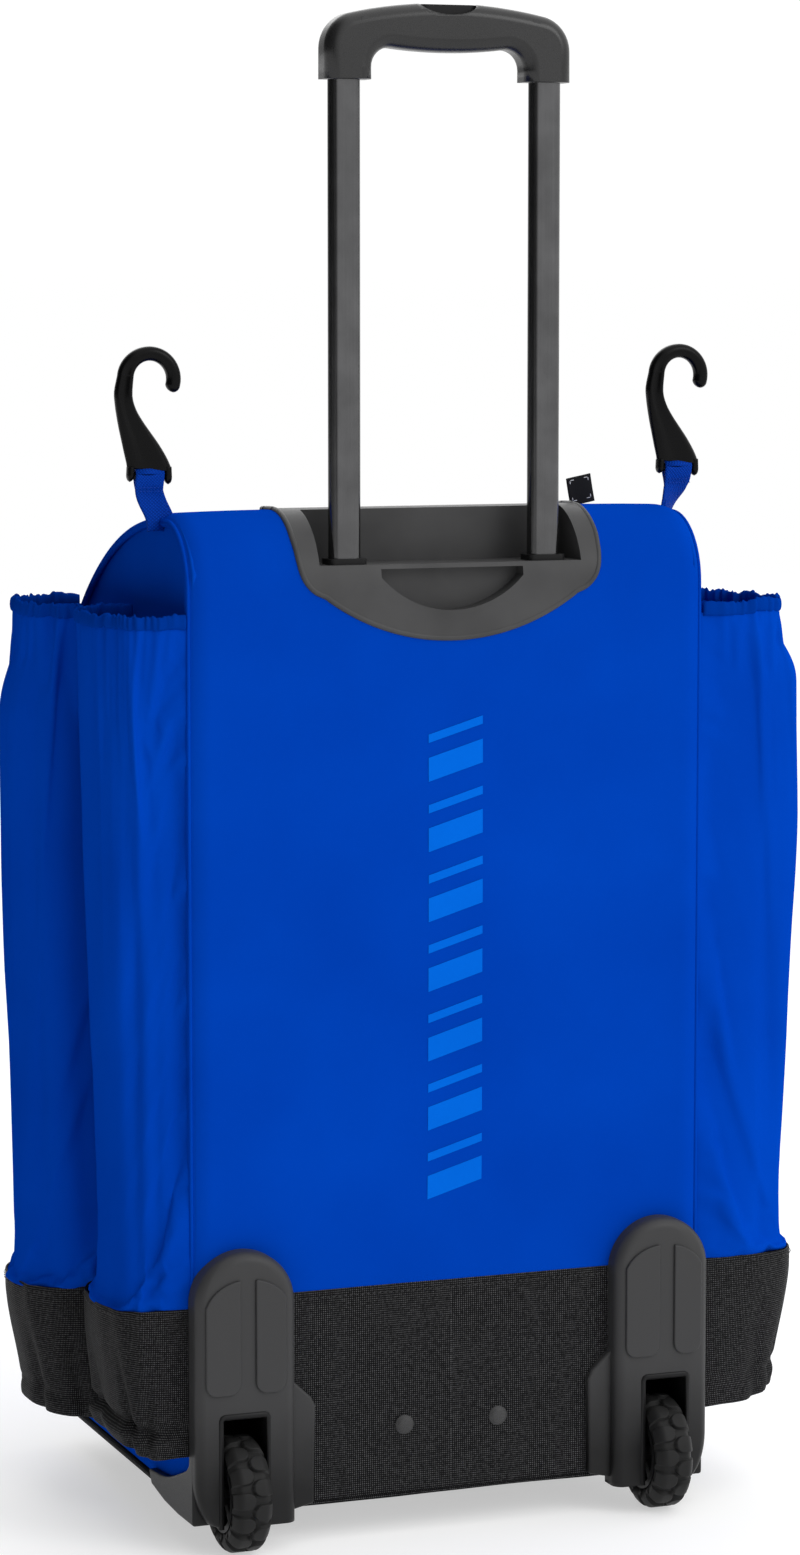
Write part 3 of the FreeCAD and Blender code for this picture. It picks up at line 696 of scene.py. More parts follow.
# ================= sleeves =================
SLEEVES = {
    "rear_sleeve_left": {"side": -1, "bulge": 57 * MM, "seed": 1.3, "seam": 8 * MM, "rise": 9 * MM,
                         "tuck": 1.0, "draw": 0.10, "neck": 0.84},
    "front_sleeve_left": {"side": -1, "bulge": 84 * MM, "seed": 4.1, "rise": 4 * MM, "tuck": 0.2,
                          "draw": 0.24, "neck": 0.84},
    "rear_sleeve_right": {"side": 1, "bulge": 103 * MM, "seed": 7.7, "seam": 12 * MM, "rise": 8 * MM,
                          "tuck": 0.35, "draw": 0.24, "neck": 0.89},
    "front_sleeve_right": {"side": 1, "bulge": 88 * MM, "seed": 9.2, "rise": 6 * MM, "tuck": 0.4,
                           "draw": 0.24, "neck": 0.88},
}
SEAM_Z = BOOT_TOP + 5 * MM        # where a sleeve meets its boot
HEM_Z = MOUTH - 5 * MM            # where a sleeve meets its elastic binding


def seam_height(info, u):
    """Seam between a sleeve and its boot: a little lower in the middle of its swell."""
    return SEAM_Z + info.get("seam", 0.0) - 3 * MM * math.sin(math.pi * u)


def sleeve_bulge(info, z):
    """Fullness at a height: widest near the top, drawn in by the elastic mouth."""
    height = (z - SEAM_Z) / (HEM_Z - SEAM_Z)
    widest = info["bulge"] * (0.90 + 0.10 * smooth(0.0, 0.8, height))
    return widest * (1 - info["draw"] * smooth(info["neck"], 1.01, height) ** 1.2)


def sleeve_point(info, low_y, high_y, u, z, out=0.0, bulge=None):
    """A point on a sleeve's section: u runs from its rear seam round to its front seam."""
    middle, half = (low_y + high_y) / 2, (high_y - low_y) / 2
    if bulge is None:
        bulge = sleeve_bulge(info, z)
    angle = math.pi * u
    power = 0.66
    dy = -math.copysign(abs(math.cos(angle)) ** power, math.cos(angle))
    dx = max(0.0, math.sin(angle)) ** power
    y = middle + dy * (half + out)
    x = GUSSET - 1 * MM + dx * (bulge + out)
    return Vector((info["side"] * x, y, z))


def fold_lift(info, u, z):
    """Long soft folds down a sleeve, and gathers under its elastic mouth."""
    height = (z - SEAM_Z) / (HEM_Z - SEAM_Z)
    seed = info["seed"]
    lift = 5.0 * MM * noise.noise(Vector((u * 3.2, z * 3.0, seed)))
    drift = 0.05 * noise.noise(Vector((z * 5.0, seed, 1.7)))
    folds = ((0.16, 0.035, -3.2), (0.30, 0.05, -4.6), (0.47, 0.07, 3.6), (0.60, 0.035, -3.4),
             (0.78, 0.05, -4.2))
    for number, (centre, width, depth) in enumerate(folds):
        shift = 0.05 * math.sin(seed * 2.7 + number * 2.2)
        fade = 0.45 + 0.55 * math.sin(seed + number * 1.9 + height * 3.4) ** 2
        lift += depth * MM * fade * bump(centre + shift + drift, width, u)
    gather = math.exp(-max(0.0, HEM_Z - z) / (26 * MM))
    pleat = noise.noise(Vector((u * 21, z * 4.0, seed * 2)))
    pleat += 0.6 * noise.noise(Vector((u * 47, z * 6.0, seed)))
    lift += gather * 4.6 * MM * pleat
    hem = math.exp(-max(0.0, z - SEAM_Z) / (30 * MM))
    lift += hem * 2.2 * MM * noise.noise(Vector((u * 13, 0.3, seed * 5)))
    return lift * math.sin(math.pi * min(1, max(0, u))) ** 0.4


def simulate_cloth(obj, held, frames, growth, cap, gravity):
    """Lets a sheet crumple a little: held vertices stay, and no vertex moves more than cap."""
    start = [v.co.copy() for v in obj.data.vertices]
    group = obj.vertex_groups.new(name="held")
    group.add(held, 1.0, "REPLACE")
    cloth = obj.modifiers.new("cloth", "CLOTH")
    settings = cloth.settings
    settings.quality = 5
    settings.mass = 0.25
    settings.tension_stiffness = 12
    settings.compression_stiffness = 12
    settings.shear_stiffness = 4
    settings.bending_stiffness = 0.35
    settings.shrink_min = -growth
    settings.vertex_group_mass = "held"
    settings.effector_weights.gravity = gravity
    cloth.collision_settings.use_collision = False
    cloth.point_cache.frame_start = 1
    cloth.point_cache.frame_end = frames
    scene = bpy.context.scene
    for number in range(1, frames + 1):
        scene.frame_set(number)
    seen = obj.evaluated_get(bpy.context.evaluated_depsgraph_get())
    moved = [v.co.copy() for v in seen.data.vertices]
    obj.modifiers.remove(cloth)
    scene.frame_set(1)
    for vertex, before, after in zip(obj.data.vertices, start, moved):
        step = after - before
        if step.length > cap:
            step *= cap / step.length
        vertex.co = before + step


def build_sleeves():
    columns, rows = 72, 120
    for name, info in SLEEVES.items():
        low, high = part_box(name)
        y0, y1 = low.y, high.y

        def place(row, column, info=info, y0=y0, y1=y1):
            low_z = seam_height(info, column)
            z = low_z + (HEM_Z - low_z) * row
            return sleeve_point(info, y0, y1, column, z, fold_lift(info, column, z))
        obj = sheet_piece(name + "_cloth", rows, columns, place, sleeve_cloth, "bag", stands_for=(name,),
                          slot="panel_fabric")
        held = [r * columns + c for r in range(rows) for c in range(columns)
                if c in (0, columns - 1) or r < 1 or r > rows - 2]
        simulate_cloth(obj, held, 16, 0.04, 8 * MM, 0.5)
        solid = obj.modifiers.new("thickness", "SOLIDIFY")
        solid.thickness = 1.6 * MM
        solid.offset = -1
        finer = obj.modifiers.new("finer", "SUBSURF")
        finer.levels = finer.render_levels = 1
        build_boot(name.replace("sleeve", "boot"), info, y0, y1)
        build_rim(name, info, y0, y1)


def build_boot(name, info, y0, y1):
    """Woven boot under a sleeve: pleats deepen downward to a tuck, and the sole is drawn in and up."""
    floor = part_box(name)[0].z + 9 * MM
    columns, rows = 96, 56
    seed = info["seed"]
    turn = 0.80
    full = sleeve_bulge(info, SEAM_Z) + 1.2 * MM
    rise, pinch = info["rise"], info["tuck"]

    def place(row, column):
        down = min(1.0, row / turn)
        top = seam_height(info, column) + 1.5 * MM
        foot = floor + rise * smooth(0.08, 0.6, column)
        foot += 2.5 * MM * noise.noise(Vector((column * 5, seed, 2.0)))
        z = top + (foot - top) * down
        taper = 1 - 0.15 * smooth(0.1, 1.0, down)
        fold = 3.2 * MM * down * noise.noise(Vector((column * 5.5, z * 6, seed)))
        for number, (centre, width) in enumerate(((0.2, 0.035), (0.38, 0.03), (0.56, 0.045), (0.74, 0.03))):
            sway = 0.07 * (down - 0.5) * math.sin(seed + number * 2.6)
            middle = centre + 0.04 * math.sin(seed * 3 + number) + sway
            fold -= 4.6 * MM * smooth(0.12, 0.9, down) * bump(middle, width, column)
        tuck = 0.83 + 0.05 * noise.noise(Vector((column * 6, seed, 7.0)))
        fold += pinch * MM * (3.2 * bump(tuck + 0.09, 0.05, down) - 5.0 * bump(tuck, 0.035, down))
        fold += 2.2 * MM * noise.noise(Vector((column * 13, 0.3, seed * 5))) * (1 - down)
        edge = math.sin(math.pi * column) ** 0.4
        point = sleeve_point(info, y0, y1, column, z, fold * edge, bulge=full * taper)
        if row > turn:
            t = (row - turn) / (1 - turn)
            centre = Vector((info["side"] * (GUSSET + 0.3 * full), (y0 + y1) / 2, floor + 0.5 * rise))
            point = point.lerp(centre, t)
            point.z -= 4 * MM * math.sin(t * math.pi) - 2 * MM * noise.noise(point * 40)
        return point
    obj = sheet_piece(name + "_cloth", rows, columns, place, twill, "bag", 1.8 * MM, stands_for=(name,),
                      slot="woven_base")
    finer = obj.modifiers.new("finer", "SUBSURF")
    finer.levels = finer.render_levels = 1
    verts, faces = [], []
    count = 34
    for index in range(count):
        u = 0.03 + 0.94 * index / count
        lift = 2.2 * MM * noise.noise(Vector((u * 13, 0.3, seed * 5)))
        ends = [sleeve_point(info, y0, y1, v, seam_height(info, v) - 2.5 * MM, lift + 0.7 * MM, bulge=full)
                for v in (u, u + 0.015)]
        normal = Vector((ends[0].x - info["side"] * GUSSET, ends[0].y - (y0 + y1) / 2, 0)).normalized()
        add_stitch(verts, faces, ends[0], ends[1], normal, 0.4 * MM)
    piece(name + "_stitches", verts, faces, black_thread, "bag")


def build_rim(name, info, y0, y1):
    """Elastic binding round a sleeve's mouth, softly puckered along its length."""
    side_word = "left" if info["side"] < 0 else "right"
    rings = []
    count = 260
    z = HEM_Z + 2.6 * MM
    for index in range(count + 1):
        u = 0.004 + 0.992 * index / count
        centre = sleeve_point(info, y0, y1, u, z, fold_lift(info, u, HEM_Z))
        before = sleeve_point(info, y0, y1, max(0, u - 0.01), z)
        after = sleeve_point(info, y0, y1, min(1, u + 0.01), z)
        along = (after - before).normalized()
        outward = along.cross(Vector((0, 0, 1))).normalized()
        pucker = 1 + 0.45 * noise.noise(Vector((index * 0.31, info["seed"], 0.5)))
        sway = 1.8 * MM * noise.noise(Vector((index * 0.06, info["seed"], 4.0)))
        ring = []
        for step in range(14):
            angle = TAU * step / 14
            wide = 1.6 * MM * pucker * math.cos(angle)
            tall = 4.8 * MM * math.sin(angle)
            if tall > 0:
                tall *= pucker
            ring.append(centre + outward * wide + Vector((0, 0, tall + sway)))
        rings.append(ring)
    short = name.replace("sleeve", "rim")
    ring_sweep(short, rings, binding, "bag", stands_for=("mouth_rims_" + side_word,), slot="elastic_binding")


# ================= hooks and their straps =================
def build_hooks():
    for side, word in SIDES:
        low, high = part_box("fence_hook_" + word)
        bar_x = (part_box("hook_strap_" + word)[0].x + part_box("hook_strap_" + word)[1].x) / 2
        deep = (low.y + high.y) / 2
        build_hook("hook_" + word, word, bar_x, deep, high.z)
        build_strap("strap_" + word, word, side, bar_x, deep, low.z)


def build_hook(name, word, bar_x, deep, top):
    """A crook that opens to +x; its arm widens to a base with two legs round the webbing."""
    ring_x, ring_z = 0.9 * MM, top - 22 * MM
    middle_r = 17.1 * MM
    stations = []
    for angle in range(-30, 176, 5):
        a = math.radians(angle)
        c, n = math.cos(a), math.sin(a)
        wide = 4.9 * MM + 0.7 * MM * smooth(90, 180, angle)
        out, inside = middle_r + wide, middle_r - wide
        near = (ring_x + inside * c, ring_z + inside * n)
        far = (ring_x + out * c, ring_z + out * n)
        stations.append((near, far, 5.0))
    arm = ((-11.4, -23.9, 10, 5.1), (-8.9, -23.4, 19, 5.2), (-4.2, -22.3, 27, 5.1),
           (1.6, -20.9, 35, 4.9), (7.4, -19.2, 43, 4.7), (12.6, -17.4, 51.5, 4.5),
           (15.6, -15.9, 58, 4.4), (16.3, -15.4, 61.5, 4.2))
    for inner_x, outer_x, drop, thick in arm:
        z = ring_z - drop * MM
        stations.append(((inner_x * MM, z - 1.5 * MM), (outer_x * MM, z + 1.5 * MM), thick))
    inners = smooth_path([Vector((bar_x + a[0], deep, a[1])) for a, b, t in stations], 3)
    outers = smooth_path([Vector((bar_x + b[0], deep, b[1])) for a, b, t in stations], 3)
    depths = smooth_values([t * MM for a, b, t in stations], 3)
    total = len(depths)
    rings = []
    for index, (inner, outer, thick) in enumerate(zip(inners, outers, depths)):
        centre, across = (inner + outer) / 2, (outer - inner) / 2
        close = 1.0
        if index < 9:
            close = math.sqrt(max(0.02, 1 - (1 - index / 9) ** 2))
        arm_part = smooth(0.62, 0.86, index / total)
        ring = []
        for step in range(28):
            angle = TAU * step / 28
            c, n = math.cos(angle), math.sin(angle)
            px = math.copysign(abs(c) ** 0.8, c) * close
            hollow = 1 - arm_part * (0.55 * bump(0.1, 0.42, px) - 0.12 * bump(-0.72, 0.2, px))
            py = thick * math.copysign(abs(n) ** 0.8, n) * hollow * close
            ring.append(centre + across * px + Vector((0, py, 0)))
        rings.append(ring)
    ring_sweep(name, rings, hook_plastic, "fence_hook_" + word, stands_for=("fence_hook_" + word,),
               slot="hook_plastic")
    base_z = ring_z - 60 * MM
    for part, x, wide, foot in (("outer", -13.0, 2.2, 9.5), ("inner", 13.2, 2.6, 11.5)):
        leg = []
        for step in range(13):
            t = step / 12
            close = math.sqrt(max(0.01, 1 - max(0.0, (t - 0.55) / 0.45) ** 2))
            splay = 0.5 * t * (1 if x > 0 else -1)
            centre = Vector((bar_x + (x + splay) * MM, deep, base_z + 0.5 * MM - (foot + 0.5) * MM * t))
            ring = []
            for k in range(20):
                c, n = math.cos(TAU * k / 20), math.sin(TAU * k / 20)
                across = wide * MM * close * math.copysign(abs(c) ** 0.7, c)
                along = 4.3 * MM * close * math.copysign(abs(n) ** 0.7, n)
                ring.append(centre + Vector((across, along, 0)))
            leg.append(ring)
        ring_sweep(name + "_leg_" + part, leg, hook_plastic, "fence_hook_" + word)
    bar = [Vector((bar_x + x * MM, deep, base_z - 5.5 * MM)) for x in (-13, -6, 0, 6, 13)]
    ring_sweep(name + "_bar", tube_rings(bar, 2.6 * MM, 12), hook_plastic, "fence_hook_" + word)


def smooth_path(points, steps):
    """Catmull-Rom points through a list of vectors."""
    result = []
    for index in range(len(points) - 1):
        a = points[max(index - 1, 0)]
        b, c = points[index], points[index + 1]
        d = points[min(index + 2, len(points) - 1)]
        for step in range(steps):
            t = step / steps
            result.append(0.5 * ((2 * b) + (c - a) * t + (2 * a - 5 * b + 4 * c - d) * t * t
                                 + (3 * b - a - 3 * c + d) * t ** 3))
    result.append(points[-1])
    return result


def smooth_values(values, steps):
    return [v.x for v in smooth_path([Vector((value, 0, 0)) for value in values], steps)]


def build_strap(name, word, side, bar_x, deep, hook_low):
    """Webbing doubled round the hook's bar, twisted a little and sewn into the top seam."""
    half = 10 * MM
    loop_z = hook_low + 5 * MM
    seam_z = TOP - 12 * MM
    seam_x = side * (GUSSET - 1 * MM)
    twist = 0.28 if side < 0 else 0.95
    rows, columns = 40, 13
    for ply, offset in (("front", -1), ("back", 1)):
        def place(row, column, offset=offset):
            t = row
            z = seam_z + (loop_z - seam_z) * t
            turn = twist * (1 - smooth(0.1, 0.95, t))
            width = half * (0.96 + 0.04 * smooth(0.2, 0.9, t))
            along = (2 * column - 1) * width
            centre_x = seam_x + (bar_x - seam_x) * smooth(0.0, 0.8, t)
            apart = offset * (0.8 * MM + 2.9 * MM * smooth(0.55, 1.0, t))
            cos, sin = math.cos(turn), math.sin(turn)
            slide = 2.5 * MM * offset * (1 - t)
            x = centre_x + along * cos - apart * sin + slide
            y = deep + along * sin * 0.9 + apart * cos
            return x, y, z + 0.6 * MM * math.sin(column * 5 + t * 9)
        obj = sheet_piece(name + "_" + ply, rows, columns, place, webbing, None, 1.5 * MM,
                          stands_for=("hook_strap_" + word,), slot="webbing")
        solid = obj.modifiers["thickness"]
        solid.offset = 0
        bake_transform(obj)
    rings = []
    for index in range(13):
        angle = math.pi * index / 12
        centre = Vector((bar_x, deep - 3.7 * MM * math.cos(angle), loop_z + 3.7 * MM * math.sin(angle)))
        normal = Vector((0, -math.cos(angle), math.sin(angle)))
        rings.append([centre + Vector((half * a, 0, 0)) + normal * (0.75 * MM * b)
                      for a, b in ((-1, -1), (1, -1), (1, 1), (-1, 1))])
    ring_sweep(name + "_loop", rings, webbing, "hook_strap_" + word)
    rows_of_stitches(name, word, bar_x, deep, loop_z - 9 * MM)


def rows_of_stitches(name, word, bar_x, deep, z):
    verts, faces = [], []
    for row in (0, 1):
        for index in range(7):
            x = bar_x + (-8 + index * 2.5) * MM
            height = z - row * 2.4 * MM
            start = Vector((x, deep - 4.2 * MM, height))
            add_stitch(verts, faces, start, start + Vector((1.7 * MM, 0, 0)), Vector((0, -1, 0)), 0.35 * MM)
    piece(name + "_stitches", verts, faces, thread, "hook_strap_" + word)


# ================= wheel housings and tyres =================
PADS = {               # raised pads, measured out from the housing's inner side
    "left": ((8 * MM, 30 * MM), (41 * MM, 66 * MM)),
    "right": ((7 * MM, 33 * MM), (44 * MM, 65 * MM)),
}


def build_housings():
    for side, word in SIDES:
        low, high = HOUSING[word]
        outer = max(abs(low.x), abs(high.x))
        build_housing(side, word, outer, low.z, high.z)
        build_tyre(word)


def build_housing(side, word, outer, bottom, top):
    """Arched block with two raised pads, a window for the tyre, an inboard wing and a guard outboard."""
    inner = outer - HOUSING_WIDE
    radius = (outer - inner) / 2
    middle = (outer + inner) / 2
    spring = top - radius
    wheel = abs(TYRE[word][0].x + TYRE[word][1].x) / 2
    slot = 16.5 * MM
    face = REAR - 16 * MM
    window_top = 98 * MM
    name = "housing_" + word
    soft = 8 * MM
    foot_wide, foot_high = 16 * MM, 34 * MM

    def far_side(z):
        """The outer side's x at a height: rounded in at the foot."""
        under = max(0.0, bottom + foot_high - z) / foot_high
        return outer - foot_wide * (1 - math.sqrt(1 - under ** 2))

    def skin(x, z):
        """How far the rear face stands at a point: flat, with its rim rolled over."""
        if z > spring:
            inside = radius - math.hypot(x - middle, z - spring)
        else:
            inside = min(x - inner, far_side(z) - x)
        over = 1 - min(soft, max(0.0, inside)) / soft
        return face + soft * (1 - math.sqrt(max(0.0, 1 - over * over)))

    rolls = [soft * (1 - math.cos(math.pi / 2 * k / 9)) for k in range(9)]
    across = [inner + r for r in rolls] + [inner + soft + 2.2 * MM * k for k in range(5)]
    across += [wheel - slot + 3 * MM * k for k in range(12)] + [outer - r for r in reversed(rolls)]
    across = sorted(set(round(x, 6) for x in across))
    heights = [bottom + 2.6 * MM * k for k in range(30)] + [window_top + 2.8 * MM * k for k in range(28)]
    heights += [spring + radius * math.sin(math.pi / 2 * k / 26) for k in range(27)]
    heights = sorted(set(round(z, 6) for z in heights))
    edge = wheel + slot
    verts, faces = [], []
    for row, z in enumerate([bottom] + heights):
        line = []
        for x in across:
            if z > spring:
                wide = math.sqrt(max(0.0, radius ** 2 - (z - spring) ** 2))
                x = middle + wide * (x - middle) / radius
            elif x > edge:
                x = edge + (far_side(z) - edge) * (x - edge) / (outer - edge)
            line.append((x, skin(x, z) if row else REAR + 3 * MM))
        line = [(line[0][0], REAR + 3 * MM)] + line + [(line[-1][0], REAR + 3 * MM)]
        verts += [(side * x, y, z) for x, y in line]
    for a, b, c, d in grid_faces(len(heights) + 1, len(across) + 2):
        centre = sum((Vector(verts[i]) for i in (a, b, c, d)), Vector()) / 4
        if abs(abs(centre.x) - wheel) < slot and centre.z < window_top:
            continue
        faces.append((a, b, c, d))
    piece(name, verts, faces, housing_plastic, "bag", stands_for=("wheel_housing_" + word,),
          slot="moulded_plastic")
    for number, (near, far) in enumerate(PADS[word]):
        build_pad(name + "_pad_" + str(number), side, inner + near, inner + far, middle, spring, face)
    wing = [(inner + 2 * MM, 25 * MM), (inner - 16 * MM, 29 * MM), (inner - 17 * MM, 98 * MM),
            (inner - 14 * MM, 104 * MM), (inner + 2 * MM, 119 * MM)]
    wing = [(side * x, z) for x, z in wing]
    prism_piece(name + "_wing", wing, REAR - 6 * MM, REAR + 2 * MM, "y", housing_plastic, "bag", 2.2 * MM, 4)
    build_guard(name + "_guard", side, outer, bottom)
    build_well(name + "_well", side, wheel, slot, face, bottom, window_top)
    build_cover(name + "_cover", side, inner, wheel - slot - 2 * MM, wheel + slot + 2 * MM)


def build_pad(name, side, x0, x1, middle, spring, face):
    """A raised pad: straight sides, a soft round foot, and a top that follows the arch."""
    reach, drop, rise = 31 * MM, 6 * MM, 24 * MM
    foot = 113 * MM
    r = 8 * MM
    points = arc_points(x0 + r, foot + r, r, 180, 270, 6) + arc_points(x1 - r, foot + r, r, 270, 360, 6)
    for step in range(13):
        x = x1 + (x0 - x1) * step / 12
        over = min(1.0, abs(x - middle) / reach)
        points.append((x, spring - drop + rise * math.sqrt(max(0.0, 1 - over * over))))
    outline = [(side * x, z) for x, z in points]
    prism_piece(name, outline, face - 2.1 * MM, face + 2 * MM, "y", housing_plastic, "bag", 1.1 * MM, 3)


def build_guard(name, side, outer, bottom):
    """Skid plate outside the gusset: it sweeps down and forward from the block's outer side."""
    depths = (0, 8, 18, 30, 45, 61, 78, 96)
    tops = (68, 58.5, 53.5, 49, 43.5, 39.5, 37.5, 36)
    top = smooth_path([Vector((0, REAR + d * MM, t * MM)) for d, t in zip(depths, tops)], 4)
    base = [Vector((0, REAR + 90 * MM, bottom + 6 * MM)), Vector((0, REAR + 60 * MM, bottom + 1.5 * MM)),
            Vector((0, REAR + 30 * MM, bottom)), Vector((0, REAR - 5 * MM, bottom + 0.5 * MM))]
    outline = [(p.y, p.z) for p in [Vector((0, REAR - 5 * MM, 74 * MM))] + top + base]
    inner_x, outer_x = sorted((side * (outer - 16.5 * MM), side * (outer + 0.15 * MM)))
    prism_piece(name, outline, inner_x, outer_x, "x", housing_plastic, "bag", 3.2 * MM, 5)


def build_well(name, side, wheel, slot, face, bottom, roof):
    """Dark box round the tyre, open below and to the rear, with a rounded lip at the window."""
    front = REAR + 50 * MM
    lip, shell = 1.2 * MM, 1.4 * MM
    left_half = [(-slot, bottom), (-slot, roof - 3 * MM), (-slot + 0.9 * MM, roof - 0.9 * MM),
                 (-slot + 3 * MM, roof)]
    section = left_half + [(-x, z) for x, z in reversed(left_half)]
    rings = []
    stations = ((face + lip, 1.0), (face + 0.3 * MM, 0.6), (face - 0.1 * MM, 0.0),
                (face + 0.5 * MM, -0.7), (face + 3 * MM, -0.9), (front, -0.9), (front, -0.9))
    for y, grow in stations:
        ring = []
        for dx, z in section:
            wide = dx + math.copysign(grow * lip, dx)
            ring.append(Vector((side * (wheel + wide), y, z + (grow * lip if z > bottom + 1 * MM else 0))))
        rings.append(ring)
    count = len(section)
    verts = [v for ring in rings for v in ring]
    faces = grid_faces(len(rings), count)
    last = (len(rings) - 1) * count
    faces.append(tuple(range(last, last + count)))
    box = piece(name, verts, faces, dark_plastic, "bag")
    solid = box.modifiers.new("thickness", "SOLIDIFY")
    solid.thickness = shell
    solid.offset = 1


def build_cover(name, side, inner, gap_from, gap_to):
    """Box inside the bag round the well: roof, both sides, front, and a floor on each side of the tyre."""
    outer, top, wall = GUSSET - 5 * MM, 101 * MM, 1.5 * MM
    front = REAR + 52 * MM
    section = [(gap_from, LOW), (inner, LOW), (inner, top), (outer, top), (outer, LOW), (gap_to, LOW),
               (gap_to, LOW + wall), (outer - wall, LOW + wall), (outer - wall, top - wall),
               (inner + wall, top - wall), (inner + wall, LOW + wall), (gap_from, LOW + wall)]
    prism_piece(name, [(side * x, z) for x, z in section], REAR + 2 * MM, front, "y", dark_plastic, "bag")
    end = [(inner, LOW), (outer, LOW), (outer, top), (inner, top)]
    prism_piece(name + "_front", [(side * x, z) for x, z in end], front, front + wall, "y",
                dark_plastic, "bag")


def build_tyre(word):
    """Tyre with rounded shoulders and alternating round-ended lugs, as one turned skin."""
    low, high = TYRE[word]
    centre = (low + high) / 2
    half = (high.x - low.x) / 2
    radius = (high.z - low.z) / 2
    around, across = 700, 53
    lug_count = 14
    rings = []
    for step in range(around):
        angle = TAU * step / around
        ring = []
        for column in range(across):
            t = 2 * column / (across - 1) - 1
            x = half * math.sin(t * math.pi / 2)
            shoulder = max(0.0, abs(x) - 6.5 * MM) / (half - 6.5 * MM)
            base = radius - 3.2 * MM - 7.0 * MM * shoulder ** 2.4
            lift = 0.0
            for hand in (-1, 1):
                phase = (angle * lug_count / TAU + (0.25 if hand > 0 else -0.25)) % 1 - 0.5
                along = phase * TAU / lug_count * radius / (6.3 * MM)
                inner_end = -1.0 * MM
                over = hand * x - inner_end
                reach = min(0.0, over - 6.5 * MM) / (6.5 * MM)
                metric = math.sqrt(along ** 2 + reach ** 2) if over < 6.5 * MM else abs(along)
                if over > 0:
                    lift = max(lift, 1 - smooth(0.92, 1.01, metric))
            r = base + 3.2 * MM * lift
            ring.append(centre + Vector((x, r * math.cos(angle), r * math.sin(angle))))
        bead = radius - 13.5 * MM
        for x in (half - 1.5 * MM, -half + 1.5 * MM):
            ring.append(centre + Vector((x, bead * math.cos(angle), bead * math.sin(angle))))
        rings.append(ring)
    ring_sweep("tyre_" + word, rings, rubber, "wheel_" + word, closed=True, caps=False,
               stands_for=("wheel_tyre_" + word,), slot="tyre_rubber")


# ================= handle and cup =================
def build_grip():
    """Handle grip: two collars and an arched bar with soft sides and a scooped release button."""
    low, top = GRIP_LOW.z, GRIP_HIGH.z
    outline = grip_outline(low, top, GRIP_HIGH.x)
    grip = prism_piece("grip", outline, GRIP_LOW.y, GRIP_HIGH.y, "y", grip_plastic, None)

    def rim_weight(middle, direction):
        if abs(direction.y) > 0.5:
            return 0.0
        return 0.08 if middle.z < low + 0.5 * MM else 1.0
    weighted_rims(grip, 9.0 * MM, rim_weight, 8)
    deep = (GRIP_LOW.y + GRIP_HIGH.y) / 2
    slot = [(x, deep + y) for x, y in arc_points(15 * MM, 0, 7.3 * MM, -90, 90, 10)]
    slot += [(x, deep + y) for x, y in arc_points(-15 * MM, 0, 7.3 * MM, 90, 270, 10)]
    carve(grip, prism_piece("slot_cutter", slot, top - 14 * MM, top + 10 * MM, "z", grip_plastic, None))
    scoop = [(22 * MM * math.cos(a), top + 1.5 * MM + 9.5 * MM * math.sin(a)) for a in
             (TAU * k / 40 for k in range(40))]
    carve(grip, prism_piece("scoop_cutter", scoop, GRIP_LOW.y - 5 * MM, deep, "y", grip_plastic, None))
    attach(grip, "handle")
    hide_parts("grip_rear_shell", "grip_front_shell")
    for polygon in grip.data.polygons:
        polygon.use_smooth = True
    sharp = grip.modifiers.new("even normals", "WEIGHTED_NORMAL")
    sharp.keep_sharp = True
    lip = []
    for step in range(49):
        t = 2 * step / 48 - 1
        lip_y, lip_z = GRIP_LOW.y + (1.2 + 2.6 * t * t) * MM, top - (11.5 - 5.5 * t * t) * MM
        lip.append(Vector((50 * MM * t, lip_y, lip_z)))
    ring_sweep("grip_lip", tube_rings(lip, 0.55 * MM, 8), grip_plastic, "handle")


def grip_outline(low, top, half):
    """Collars, round shoulders, an arched top and a bellied underside, from the right foot round."""
    points = [(half, low)]
    points += arc_points(half - 24 * MM, top - 31 * MM, 24 * MM, 0, 78, 12)
    steps = 24
    start = points[-1]
    for step in range(1, steps):
        x = start[0] * (1 - 2 * step / steps)
        points.append((x, start[1] + (top - start[1]) * (1 - (x / start[0]) ** 2)))
    left = [(-x, z) for x, z in reversed(points[:13])]
    points += left
    under = arc_points(-42 * MM, low + 8 * MM, 13.5 * MM, 180, 90, 8)
    belly = []
    for step in range(1, 20):
        x = -42 * MM + 84 * MM * step / 20
        belly.append((x, low + 21.5 * MM - 2.6 * MM * (1 - (x / (42 * MM)) ** 2)))
    points.append((-55.5 * MM, low))
    points += under + belly + [(-x, z) for x, z in reversed(under)]
    points.append((55.5 * MM, low))
    return points


